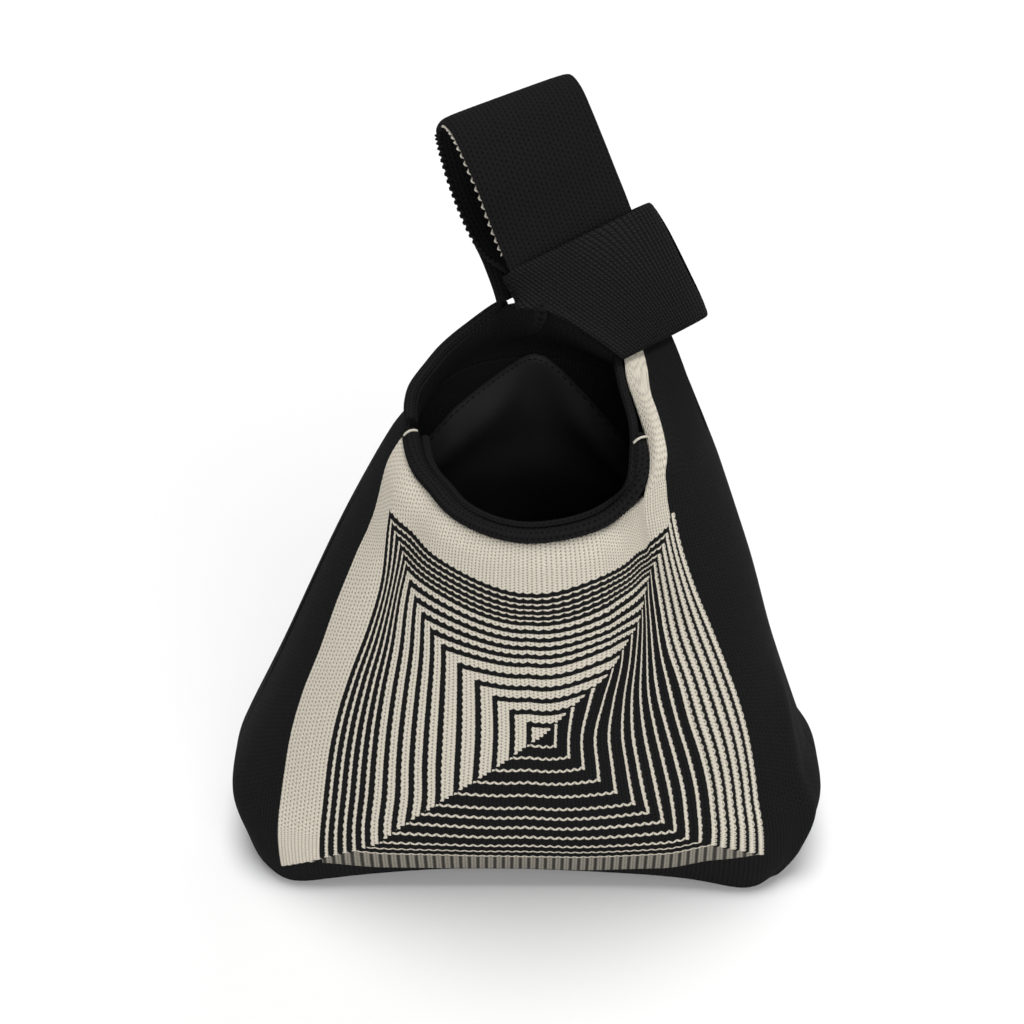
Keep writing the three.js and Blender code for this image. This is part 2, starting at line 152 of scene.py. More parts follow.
@dataclass(frozen=True)
class Curve:
    """A smooth open curve through points, in millimetres."""

    points: tuple[Vector, ...]

    def at(self, share: float) -> Vector:
        """Return the point at a share of the way along the curve.

        Args:
            share: 0 at the first point and 1 at the last.

        Returns:
            The place on the curve.
        """
        last = len(self.points) - 1
        place = min(max(share, 0.0), 1.0) * last
        index = min(int(place), last - 1)
        t = place - index
        before = self.points[max(index - 1, 0)]
        start, end = self.points[index], self.points[index + 1]
        after = self.points[min(index + 2, last)]
        slope_in = (end - before) / 2
        slope_out = (after - start) / 2
        rise = 3 * t**2 - 2 * t**3
        bend = slope_in * (t**3 - 2 * t**2 + t) + slope_out * (t**3 - t**2)
        return start.lerp(end, rise) + bend

    def calmed(self, passes: int) -> Curve:
        """Return the curve with each inner point moved towards its neighbours a number of times.

        Args:
            passes: How often the points are moved.

        Returns:
            The calmer curve.
        """
        points = list(self.points)
        for _ in range(passes):
            inner = [(a + b * 2 + c) / 4 for a, b, c in zip(points, points[1:], points[2:])]
            points = [points[0], *inner, points[-1]]
        return Curve(tuple(points))

    def along(self, share: float) -> Vector:
        """Return the curve's unit direction at a share of the way along it."""
        return (self.at(share + STEP) - self.at(share - STEP)).normalized()


@dataclass(frozen=True)
class Outline:
    """The body's outline at one height, in millimetres from its upright axis."""

    height: float
    left: float
    right: float
    front: float
    back: float
    front_corner: float
    back_corner: float

    def values(self) -> tuple[float, ...]:
        """Return the outline as plain numbers, in the order of its fields."""
        return (self.height, self.left, self.right, self.front, self.back, self.front_corner, self.back_corner)


@dataclass(frozen=True)
class BodyForm:
    """The form of the knit body, from which every other piece takes its place."""

    rows: tuple[Outline, ...] = (
        Outline(0, 113, 108.5, 37, 34, 6.5, 5),
        Outline(5, 115, 111.5, 39.5, 38, 6, 4.6),
        Outline(16, 118, 117.5, 42.5, 41, 5, 4.2),
        Outline(32, 122.5, 122.5, 43.5, 42, 3.8, 3.6),
        Outline(50, 117.5, 114, 44, 43, 3.2, 3.2),
        Outline(100, 96.5, 97.5, 47, 44, 2.7, 2.6),
        Outline(150, 75, 84, 48, 45, 2.2, 2.2),
        Outline(190, 56.5, 70.3, 47, 46, 2, 2),
        Outline(208, 46.5, 63.4, 46, 46, 2, 2),
    )
    shoulder: float = 208.0
    front_rim: float = 190.0
    scoop_power: float = 1.6
    hem: float = 0.6
    arch_height: float = 12.0
    arch_middle: float = -24.0
    arch_left: float = 50.0
    arch_right: float = 91.0
    rim_rise: float = 9.0
    rim_rise_width: float = 8.5
    rim_turn: float = 3.4
    rim_turn_height: float = 10.0
    knit: float = 3.2
    known: dict[float, Outline] = field(default_factory=dict, compare=False, repr=False)

    def outline(self, height: float) -> Outline:
        """Return the outline at a height, by a smooth curve through the rows.

        Args:
            height: Millimetres above the surface that the bag stands on.

        Returns:
            The outline there, which is kept for the next time.
        """
        if height not in self.known:
            table = [row.values() for row in self.rows]
            self.known[height] = Outline(height, *through(table, height))
        return self.known[height]

    def plain(self, angle: float, height: float) -> Vector:
        """Return a point of the smooth body, with the angle in degrees from the right towards the back.

        Args:
            angle: Degrees from the right towards the back.
            height: Millimetres above the surface that the bag stands on.

        Returns:
            The point in millimetres.
        """
        row = self.outline(height)
        across, out = math.cos(math.radians(angle)), math.sin(math.radians(angle))
        corner = row.front_corner if out < 0 else row.back_corner
        x = (row.left if across < 0 else row.right) * power(across, 2 / corner)
        y = (row.front if out < 0 else row.back) * power(out, 2 / corner)
        return Vector((x, y, height))

    def normal(self, angle: float, height: float) -> Vector:
        """Return the smooth body's outward direction.

        Args:
            angle: Degrees from the right towards the back.
            height: Millimetres above the surface that the bag stands on.

        Returns:
            The unit direction.
        """
        step = 0.5
        around = self.plain(angle + step, height) - self.plain(angle - step, height)
        rise = self.plain(angle, height + step) - self.plain(angle, height - step)
        return around.cross(rise).normalized()

    def corner_bulge(self, angle: float, height: float) -> float:
        """Return how far the low front corners stand out of the smooth body, in millimetres."""
        return (6.5 * hump(-56, 20, angle) + 3.5 * hump(-126, 18, angle)) * (1 - ease(4, 46, height))

    def folds(self, angle: float, height: float) -> float:
        """Return how far the cloth's folds stand out of the smooth body, in millimetres.

        Args:
            angle: Degrees from the right towards the back.
            height: Millimetres above the surface that the bag stands on.

        Returns:
            Millimetres outward.
        """
        top = ease(70, 190, height)
        right_crease = -3.6 * hump(-57 + 6 * (1 - top), 5.5, angle) * ease(95, 175, height)
        left_crease = -2.2 * hump(-136, 8, angle) * ease(110, 185, height)
        right_gusset = 2.2 * hump(-13 - 0.24 * max(0.0, 90 - height), 6, angle) * (1 - ease(70, 120, height))
        waves = 0.8 * math.sin(math.radians(angle * 3.1 + height * 1.4)) * ease(20, 80, height)
        creases = right_crease + left_crease + right_gusset + self.corner_bulge(angle, height)
        return creases + waves * (1 - ease(150, 200, height))

    def point(self, angle: float, height: float, depth: float = 0.0) -> Vector:
        """Return a point of the folded cloth.

        Args:
            angle: Degrees from the right towards the back.
            height: Millimetres above the surface that the bag stands on.
            depth: Millimetres inward through the cloth.

        Returns:
            The point in millimetres.
        """
        return self.plain(angle, height) + self.normal(angle, height) * (self.folds(angle, height) - depth)

    def course_share(self, angle: float, height: float) -> float:
        """Return the share of the knit courses below a height, where 0 is the base and 1 the plain rim.

        Args:
            angle: Degrees from the right towards the back.
            height: Millimetres above the surface that the bag stands on.

        Returns:
            The share.
        """
        level = height - 1.25 * self.corner_bulge(angle, height)
        foot = self.hem + 4.0 * hump(0, 46, self.plain(angle, self.hem).x)
        return (level - foot) / (self.scoop(angle) - foot)

    def girth(self, angle: float, height: float) -> float:
        """Return the way from the front's middle out to a point and back along the side, in millimetres.

        Args:
            angle: Degrees from the right towards the back.
            height: Millimetres above the surface that the bag stands on.

        Returns:
            Millimetres, negative on the left.
        """
        height = min(height, self.shoulder - 0.1)
        point = self.plain(angle, height)
        return math.copysign(abs(point.x) + self.outline(height).front + point.y, point.x)

    def scoop(self, angle: float) -> float:
        """Return the height of the front mouth's dip between the shoulders."""
        aside = abs(math.cos(math.radians(angle))) ** self.scoop_power
        return self.front_rim + (self.shoulder - self.front_rim) * aside

    def rim_height(self, angle: float) -> float:
        """Return the height of the front rim, which rises at the foot of the long handle."""
        return self.scoop(angle) + self.rim_rise * hump(-46, self.rim_rise_width, angle)

    def turn_in(self, angle: float, below: float) -> float:
        """Return how far the cloth leans inward at a distance below its rim.

        Args:
            angle: Degrees from the right towards the back.
            below: Millimetres below the rim.

        Returns:
            Millimetres inward.
        """
        share = 1 - ease(-64, -52, angle) if angle < 0 else ease(118, 165, angle)
        return self.rim_turn * share * max(0.0, 1 - below / self.rim_turn_height) ** 1.7

    def hem_height(self, angle: float) -> float:
        """Return the height of the hem, which lifts in the middle.

        Args:
            angle: Degrees from the right towards the back.

        Returns:
            Millimetres above the surface that the bag stands on.
        """
        x = self.plain(angle, self.hem).x
        away = abs(x - self.arch_middle) / (self.arch_left if x < self.arch_middle else self.arch_right)
        return self.hem + self.arch_height * math.exp(-(away**2.6))


FORM = BodyForm()


@dataclass(frozen=True)
class HandleFrame:
    """Directions and middle of the short handle's ring, in millimetres."""

    centre: Vector = field(default_factory=lambda: Vector((26, 30, 243)))
    up: Vector = field(default_factory=lambda: Vector((-0.492, 0.395, 0.777)).normalized())
    across: Vector = field(default_factory=lambda: Vector((0.884, 0.385, 0.257)).normalized())
    length: float = 46.0
    half_width: float = 28.6
    half_depth: float = 7.4
    slant_start: float = -6.0
    slant_end: float = -22.0
    slant_rise: float = 32.0
    knuckle: float = 1.2

    @property
    def face(self) -> Vector:
        """Return the direction out of the ring's front face."""
        return self.across.cross(self.up).normalized()

    @property
    def grip_up(self) -> Vector:
        """Return the direction up the grip loop, square to the ring's width."""
        return self.face.cross(self.across).normalized()

    def point(self, along: float, across: float, out: float) -> Vector:
        """Return a point by its distances along the long handle, across it and out of its face."""
        return self.centre + self.up * along + self.across * across + self.face * out

    def foot(self, across: float) -> float:
        """Return where the ring's lower edge lies, which slants up on the left."""
        share = (self.slant_start - across) / (self.slant_start - self.slant_end)
        return -self.length / 2 + self.slant_rise * min(1.0, max(0.0, share)) + 0.4 * max(0.0, self.slant_end - across)

    @property
    def pivot(self) -> Vector:
        """Return the middle of the line that the grip loop tilts on."""
        return self.point(self.length / 2 + self.knuckle, 0, 0)


HANDLE = HandleFrame()


def new_piece(name: str, mesh_source: bmesh.types.BMesh, finish: bpy.types.Material) -> bpy.types.Object:
    """Make an object from a bmesh, shade it smooth and dress it.

    Args:
        name: The piece's name.
        mesh_source: The finished bmesh, which is freed.
        finish: The material that covers the piece.

    Returns:
        The new object at the origin.
    """
    for face in mesh_source.faces:
        face.smooth = True
    mesh = bpy.data.meshes.new(name)
    mesh_source.to_mesh(mesh)
    mesh_source.free()
    mesh.materials.append(finish)
    piece = bpy.data.objects.new(name, mesh)
    bpy.context.scene.collection.objects.link(piece)
    return piece


def woven_grid(place: Place, stitches: Stitches, columns: int, rows: int, wrap: float = 0.0) -> bmesh.types.BMesh:
    """Lay a grid of faces over a surface and give it a map in stitches.

    Args:
        place: The surface, in millimetres, for two shares from 0 to 1.
        stitches: The map's coordinates for the same shares.
        columns: Faces along the first share.
        rows: Faces along the second share.
        wrap: The distance in millimetres within which meeting edges are joined.

    Returns:
        The bmesh, in metres.
    """
    cloth = bmesh.new()
    bmesh.ops.create_grid(cloth, x_segments=columns, y_segments=rows, size=0.5)
    shares = {vertex: (vertex.co.x + 0.5, vertex.co.y + 0.5) for vertex in cloth.verts}
    marks = {vertex: stitches(*share) for vertex, share in shares.items()}
    layer = cloth.loops.layers.uv.new("stitches")
    for face in cloth.faces:
        for loop in face.loops:
            loop[layer].uv = marks[loop.vert]
    for vertex, (u, v) in shares.items():
        vertex.co = place(u, v) * MM
    if wrap:
        bmesh.ops.remove_doubles(cloth, verts=cloth.verts, dist=wrap * MM)
        bmesh.ops.recalc_face_normals(cloth, faces=cloth.faces)
    return cloth


def add_cloth(target: bmesh.types.BMesh, extra: bmesh.types.BMesh) -> None:
    """Join a second grid of cloth to a first along the edge that they share.

    Args:
        target: The first grid, which grows.
        extra: The second grid, which is freed.
    """
    mesh = bpy.data.meshes.new("joined")
    extra.to_mesh(mesh)
    extra.free()
    target.from_mesh(mesh)
    bpy.data.meshes.remove(mesh)
    bmesh.ops.remove_doubles(target, verts=target.verts, dist=0.01 * MM)


def thicken(piece: bpy.types.Object, thickness: float) -> None:
    """Give a sheet its thickness inward and keep the result as its mesh.

    Args:
        piece: The sheet.
        thickness: Millimetres of cloth.
    """
    wall = piece.modifiers.new("cloth", "SOLIDIFY")
    wall.thickness = thickness * MM
    wall.offset = -1.0
    wall.use_even_offset = False
    wall.use_quality_normals = True
    depsgraph = bpy.context.evaluated_depsgraph_get()
    settled = bpy.data.meshes.new_from_object(piece.evaluated_get(depsgraph), depsgraph=depsgraph)
    piece.modifiers.clear()
    piece.data = settled
    settled.name = piece.name


def strand(
    path: Callable[[float], Vector],
    radius: Callable[[float, float], float],
    columns: int,
    rows: int,
    hint: Vector,
    pitch: float = STITCH_WIDTH,
) -> bmesh.types.BMesh:
    """Make a round strand with closed ends along a path.

    Args:
        path: The strand's middle line, in millimetres, for a share from 0 to 1.
        radius: The radius for the share along and the share round.
        columns: Faces round the strand.
        rows: Faces along it.
        hint: A direction that the path never follows.
        pitch: Millimetres to a stitch on its map.

    Returns:
        The closed bmesh.
    """

    def place(u: float, v: float) -> Vector:
        """Return a point of the strand, a share round it and a share along it.

        Args:
            u: The share round.
            v: The share along.

        Returns:
            The point in millimetres.
        """
        tangent = (path(min(v + STEP, 1)) - path(max(v - STEP, 0))).normalized()
        side = tangent.cross(hint).normalized()
        lift = side.cross(tangent)
        turn = 2 * math.pi * u
        size = radius(v, u)
        return path(v) + side * (size * math.cos(turn)) + lift * (size * math.sin(turn))

    reach = length_of(path)

    def stitches(u: float, v: float) -> tuple[float, float]:
        """Return the map for the same shares."""
        return (u * 8.0, v * reach / pitch)

    return woven_grid(place, stitches, columns, rows, wrap=WELD)


def tapered(radius: float, end: float = 0.03) -> Callable[[float, float], float]:
    """Return a radius that closes to nothing at both ends of a strand.

    Args:
        radius: The radius between the ends, in millimetres.
        end: The share of the strand that closes at each end.

    Returns:
        The radius for the share along and the share round.
    """

    def size(along: float, around: float) -> float:
        """Return the radius at a share along the strand."""
        reach = min(along, 1 - along) / end
        return radius * math.sqrt(max(0.0, 1 - max(0.0, 1 - reach) ** 2))

    return size


def band(
    spine: Callable[[float], tuple[Vector, Vector, Vector]],
    half_width: Callable[[float], float],
    half_thickness: float,
    columns: int,
    rows: int,
    stitches: Stitches,
    closed: bool,
) -> bmesh.types.BMesh:
    """Make a flat strap with rounded edges along a spine.

    Args:
        spine: Middle, width direction and face direction for a share from 0 to 1.
        half_width: Half of the strap's width at a share, in millimetres.
        half_thickness: Half of its thickness.
        columns: Faces round its section.
        rows: Faces along it.
        stitches: The map for the position across in millimetres and the share along.
        closed: Whether the strap is a ring.

    Returns:
        The closed bmesh.
    """
    corner = 2 / 5.5

    def section(u: float, v: float) -> tuple[float, float]:
        """Return a point of the strap's section.

        Args:
            u: 0 to 1 along the first way of the cloth.
            v: 0 to 1 along the second way of the cloth.

        Returns:
            Millimetres across the strap and out of its face.
        """
        turn = 2 * math.pi * (u + 0.125)
        cap = 1.0
        if not closed:
            cap = math.sqrt(max(0.0, 1 - max(0.0, 1 - min(v, 1 - v) / 0.02) ** 2))
        across = half_width(v) * power(math.cos(turn), corner)
        return across, cap * half_thickness * power(math.sin(turn), corner)

    def place(u: float, v: float) -> Vector:
        """Return a point of the strap.

        Args:
            u: 0 to 1 along the first way of the cloth.
            v: 0 to 1 along the second way of the cloth.

        Returns:
            The point in millimetres.
        """
        middle, width, face = spine(v)
        across, out = section(u, v)
        return middle + width * across + face * out

    def knit(u: float, v: float) -> tuple[float, float]:
        """Return the map for the same shares."""
        return stitches(section(u, v)[0], v)

    return woven_grid(place, knit, columns, rows, wrap=WELD)


class ShaderSheet:
    """Adds shader nodes to one tree and joins them."""

    def __init__(self, tree: bpy.types.NodeTree) -> None:
        """Keep the tree that nodes are added to.

        Args:
            tree: A material's or a group's node tree.
        """
        self.tree = tree

    def node(self, kind: str, **settings: object) -> bpy.types.Node:
        """Add a node and set its fields.

        Args:
            kind: The node's type.
            **settings: Its fields with their values.

        Returns:
            The node.
        """
        node = self.tree.nodes.new(kind)
        for key, value in settings.items():
            setattr(node, key, value)
        return node

    def feed(self, socket: bpy.types.NodeSocket, value: object) -> None:
        """Join a socket to another, or set it to a plain value.

        Args:
            socket: The input to fill.
            value: A socket to join, or a plain value.
        """
        if isinstance(value, bpy.types.NodeSocket):
            self.tree.links.new(value, socket)
        else:
            socket.default_value = value

    def math(self, operation: str, *values: object, clamp: bool = False) -> bpy.types.NodeSocket:
        """Add a math node on values or sockets and return its result.

        Args:
            operation: What the node does.
            *values: Numbers or sockets.
            clamp: Whether the result stays from 0 to 1.

        Returns:
            The result's socket.
        """
        node = self.node("ShaderNodeMath", operation=operation, use_clamp=clamp)
        for socket, value in zip(node.inputs, values):
            self.feed(socket, value)
        return node.outputs[0]

    def span(
        self, value: object, low: float, high: float, to_low: float = 0.0, to_high: float = 1.0
    ) -> bpy.types.NodeSocket:
        """Ease a value from one range to another and return the result.

        Args:
            value: A number or socket.
            low: The start of its range.
            high: The end of its range.
            to_low: The result at the start.
            to_high: The result at the end.

        Returns:
            The result's socket.
        """
        node = self.node("ShaderNodeMapRange", interpolation_type="SMOOTHSTEP")
        for socket, number in zip(node.inputs, (value, low, high, to_low, to_high)):
            self.feed(socket, number)
        return node.outputs[0]

    def blend(self, share: object, low: object, high: object) -> bpy.types.NodeSocket:
        """Mix two colours by a share and return the result.

        Args:
            share: How much of the second colour.
            low: The first colour.
            high: The second colour.

        Returns:
            The mixed colour's socket.
        """
        node = self.node("ShaderNodeMix", data_type="RGBA")
        self.feed(node.inputs["Factor"], share)
        self.feed(node.inputs[6], low)
        self.feed(node.inputs[7], high)
        return node.outputs[2]


def new_group(
    name: str, inputs: dict[str, object], outputs: dict[str, str]
) -> tuple[ShaderSheet, bpy.types.Node, bpy.types.Node]:
    """Start a shader node group.

    Args:
        name: The group's name.
        inputs: Each input's name with a socket type or a number as its start value.
        outputs: Each output's name with its socket type.

    Returns:
        The sheet to build on, and the group's input and output nodes.
    """
    tree = bpy.data.node_groups.new(name, "ShaderNodeTree")
    for label, start in inputs.items():
        kind = start if isinstance(start, str) else "NodeSocketFloat"
        socket = tree.interface.new_socket(label, in_out="INPUT", socket_type=kind)
        if not isinstance(start, str):
            socket.default_value = start
    for label, kind in outputs.items():
        tree.interface.new_socket(label, in_out="OUTPUT", socket_type=kind)
    sheet = ShaderSheet(tree)
    return sheet, sheet.node("NodeGroupInput"), sheet.node("NodeGroupOutput")


def new_material(name: str, roughness: float, shine: float) -> tuple[bpy.types.Material, ShaderSheet, bpy.types.Node]:
    """Start a material, with its constants on its own shader.

    Args:
        name: The material's name.
        roughness: How rough the surface is.
        shine: The level of its plain reflection.

    Returns:
        The material, the sheet to build on and the shader.
    """
    material = bpy.data.materials.new(name)
    material.use_nodes = True
    shader = material.node_tree.nodes["Principled BSDF"]
    shader.inputs["Roughness"].default_value = roughness
    shader.inputs["Specular IOR Level"].default_value = shine
    return material, ShaderSheet(material.node_tree), shader


def add_relief(
    sheet: ShaderSheet, shader: bpy.types.Node, height: bpy.types.NodeSocket, strength: float, distance: float
) -> None:
    """Raise a surface by a height with a bump node.

    Args:
        sheet: The sheet to build on.
        shader: The shader whose normal is bent.
        height: The height over the surface.
        strength: How strongly it shows.
        distance: The height of a full step, in metres.
    """
    bump = sheet.node("ShaderNodeBump")
    bump.inputs["Strength"].default_value = strength
    bump.inputs["Distance"].default_value = distance
    sheet.feed(bump.inputs["Height"], height)
    sheet.feed(shader.inputs["Normal"], bump.outputs[0])


def knit_group() -> bpy.types.NodeTree:
    """Build the group that turns a map in stitches into relief, painted shade in the gaps between stitches, and stitch
    cells.

    Returns:
        The group, with the place in the knit, its sway from stitch to stitch, its relief and the painted shade in its
        gaps.
    """
    sheet, source, result = new_group(
        "Knit Stitches",
        {"Stitches": "NodeSocketVector", "Lean": 0.8, "Slub": 0.16, "Rib": 0.0},
        {label: "NodeSocketFloat" for label in ("Across", "Level", "Sway", "Swing", "Relief", "Gap Shade")},
    )
    wobble = sheet.node("ShaderNodeTexNoise")
    wobble.inputs["Scale"].default_value = 0.8
    sheet.feed(wobble.inputs["Vector"], source.outputs["Stitches"])
    drift = sheet.node("ShaderNodeSeparateColor")
    sheet.feed(drift.inputs[0], wobble.outputs["Color"])
    split = sheet.node("ShaderNodeSeparateXYZ")
    sheet.feed(split.inputs[0], source.outputs["Stitches"])
    slub = source.outputs["Slub"]
    across = sheet.math("MULTIPLY_ADD", sheet.math("SUBTRACT", drift.outputs[0], 0.5), slub, split.outputs[0])
    level = sheet.math("MULTIPLY_ADD", sheet.math("SUBTRACT", drift.outputs[1], 0.5), slub, split.outputs[1])
    sway = sheet.math("PINGPONG", across, 1.0)
    swing = sheet.math("PINGPONG", level, 1.0)
    up = sheet.math("SUBTRACT", level, sheet.math("MULTIPLY", sway, source.outputs["Lean"]))

    def edge(value: object) -> bpy.types.NodeSocket:
        """Return 0 in the middle of a stitch and 1 at its sides."""
        middle = sheet.math("SUBTRACT", sheet.math("FRACT", value), 0.5)
        return sheet.math("MULTIPLY", sheet.math("ABSOLUTE", middle), 2.0)

    edge_u, edge_v = edge(across), edge(up)
    round_u = sheet.math("SUBTRACT", 1.0, sheet.math("POWER", edge_u, 2.4))
    round_v = sheet.math("SUBTRACT", 1.0, sheet.math("POWER", edge_v, 3.0))
    relief = sheet.math("MULTIPLY", round_u, sheet.math("MULTIPLY_ADD", round_v, 0.7, 0.3))
    rib = source.outputs["Rib"]
    groove = sheet.math("MULTIPLY", edge_u, sheet.math("MULTIPLY_ADD", rib, 0.5, 1.0))
    notch = sheet.math("MULTIPLY_ADD", rib, -0.8, 1.0)
    # How far a point lies in the gap between stitches; the colour is darkened there as painted shade.
    gap = sheet.span(sheet.math("MULTIPLY_ADD", edge_v, notch, groove), 1.15, 1.75)
    values = {"Across": across, "Level": level, "Sway": sway, "Swing": swing, "Relief": relief, "Gap Shade": gap}
    for label, value in values.items():
        sheet.feed(result.inputs[label], value)
    return sheet.tree


@dataclass(frozen=True)
class NestedLines:
    """One colour's lines round the middle of the squares, at pitches of 4, then 3, then 2 stitches."""

    second: float
    third: float
    last: float
    level: float
    outer_level: float
    upright: float
    outer_upright: float
    bead: float
    sway: float

    def draw(self, sheet: ShaderSheet, source: bpy.types.Node) -> tuple[bpy.types.NodeSocket, bpy.types.NodeSocket]:
        """Draw the lines.

        Args:
            sheet: The sheet to build on.
            source: The node that gives Across, Level, Sway and Swing.

        Returns:
            The mask, 1 on a line, and the distance from the middle in stitches.
        """
        sway, swing = source.outputs["Sway"], source.outputs["Swing"]
        up = sheet.math("SUBTRACT", source.outputs["Level"], sheet.math("MULTIPLY", sway, self.sway))
        aside = sheet.math("SUBTRACT", source.outputs["Across"], sheet.math("MULTIPLY", swing, self.sway * 0.35))
        reach_u, reach_v = sheet.math("ABSOLUTE", aside), sheet.math("ABSOLUTE", up)
        upright = sheet.math("GREATER_THAN", reach_u, reach_v)
        ring = sheet.math("MAXIMUM", reach_u, reach_v)

        def away(first: float, pitch: float) -> bpy.types.NodeSocket:
            """Return the distance from the nearest of some evenly spaced rings."""
            turn = sheet.math("FLOORED_MODULO", sheet.math("SUBTRACT", ring, first - pitch / 2), pitch)
            return sheet.math("ABSOLUTE", sheet.math("SUBTRACT", turn, pitch / 2))

        def choose(after: float, inner: object, outer: object) -> bpy.types.NodeSocket:
            """Return one value within a ring and another outside it.

            Args:
                after: The distance of the ring from the middle.
                inner: The value within.
                outer: The value outside.

            Returns:
                The chosen value.
            """
            past = sheet.math("GREATER_THAN", ring, after)
            rest = sheet.math("MULTIPLY", sheet.math("SUBTRACT", 1.0, past), inner)
            return sheet.math("ADD", sheet.math("MULTIPLY", past, outer), rest)

        near = choose(self.second - 1.6, away(3.5, 4), away(self.second + 0.5, 3))
        near = choose(self.third + 0.9, near, away(self.third + 0.5, 2))
        inner_half = sheet.math("MULTIPLY_ADD", upright, self.upright - self.level, self.level)
        outer_half = sheet.math("MULTIPLY_ADD", upright, self.outer_upright - self.outer_level, self.outer_level)
        half = choose(self.third + 0.9, inner_half, outer_half)
        level_beads = sheet.math("MULTIPLY", sheet.math("SUBTRACT", 1.0, upright), sway)
        beads = sheet.math("ADD", sheet.math("MULTIPLY", upright, swing), level_beads)
        half = sheet.math("MULTIPLY_ADD", sheet.math("SUBTRACT", beads, 0.5), self.bead, half)
        line = sheet.span(sheet.math("SUBTRACT", near, half), -0.12, 0.12, 1.0, 0.0)
        inside = sheet.math("LESS_THAN", ring, self.last + 1.25)
        within = sheet.math("MULTIPLY", inside, sheet.math("GREATER_THAN", ring, 1.6))
        return sheet.math("MULTIPLY", line, within), up


def squares_group() -> bpy.types.NodeTree:
    """Build the group that draws the nested squares and their cream frame.

    Returns:
        The group, whose mask is 1 on cream yarn.
    """
    sheet, source, result = new_group(
        "Nested Squares",
        {"Across": 0.0, "Level": 0.0, "Sway": 0.0, "Swing": 0.0, "Frame": -61.0, "Foot": -51.4, "Curl": -41.9},
        {"Cream": "NodeSocketFloat"},
    )
    across, level = source.outputs["Across"], source.outputs["Level"]
    black, dark_up = NestedLines(26, 38, 48, 0.8, 0.72, 0.66, 0.66, 0.18, 0.35).draw(sheet, source)
    cream, light_up = NestedLines(26, 41, 51, 0.33, 0.33, 0.4, 0.62, 0.1, 0.5).draw(sheet, source)
    upper = sheet.math("GREATER_THAN", sheet.math("FLOOR", level), sheet.math("FLOOR", across))
    left_end = sheet.math("LESS_THAN", across, -48.5)
    slant = sheet.math("MULTIPLY_ADD", sheet.math("ADD", across, 48.5), 0.69, -49.0)
    foot_gap = sheet.math("SUBTRACT", slant, source.outputs["Foot"])
    foot = sheet.math("MULTIPLY_ADD", left_end, foot_gap, source.outputs["Foot"])
    above_foot = sheet.math("GREATER_THAN", dark_up, foot)
    frame_edge = sheet.math("SUBTRACT", source.outputs["Frame"], 0.5)
    field_left = sheet.math("GREATER_THAN", sheet.math("FLOOR", across), frame_edge)
    field = sheet.math("MULTIPLY", field_left, sheet.math("LESS_THAN", across, 50.4))
    on_cream = sheet.math("MULTIPLY", sheet.math("SUBTRACT", 1.0, black), sheet.math("MULTIPLY", field, above_foot))
    diagonal = sheet.math("SUBTRACT", -0.6, sheet.math("ABSOLUTE", across))
    hatched = sheet.math("LESS_THAN", light_up, sheet.math("MINIMUM", source.outputs["Curl"], diagonal))
    on_black = sheet.math("MULTIPLY", cream, sheet.math("SUBTRACT", 1.0, hatched))
    lower = sheet.math("SUBTRACT", 1.0, upper)
    mask = sheet.math("ADD", sheet.math("MULTIPLY", upper, on_cream), sheet.math("MULTIPLY", lower, on_black))
    bars = sheet.span(source.outputs["Sway"], 0.25, 0.6, 0.08, 0.42)
    hatch = sheet.math("MULTIPLY", sheet.math("MULTIPLY", hatched, above_foot), bars)
    sheet.feed(result.inputs["Cream"], sheet.math("MAXIMUM", mask, sheet.math("MULTIPLY", hatch, lower)))
    return sheet.tree


@dataclass(frozen=True)
class Yarn:
    """A yarn's colour and how rough it is."""

    colour: tuple[float, float, float]
    roughness: float = 0.95

    def rgba(self) -> tuple[float, float, float, float]:
        """Return the colour with full alpha."""
        return (*self.colour, 1.0)


BLACK_YARN = Yarn((0.0118, 0.0118, 0.0125))
# The ring's black yarn, set lighter than the body's black yarn so that the ribbed ring shows brighter: painted light
# on the ring.
LIT_RIB_YARN = Yarn((0.0185, 0.0185, 0.0194))
CREAM_YARN = Yarn((0.755, 0.697, 0.586))


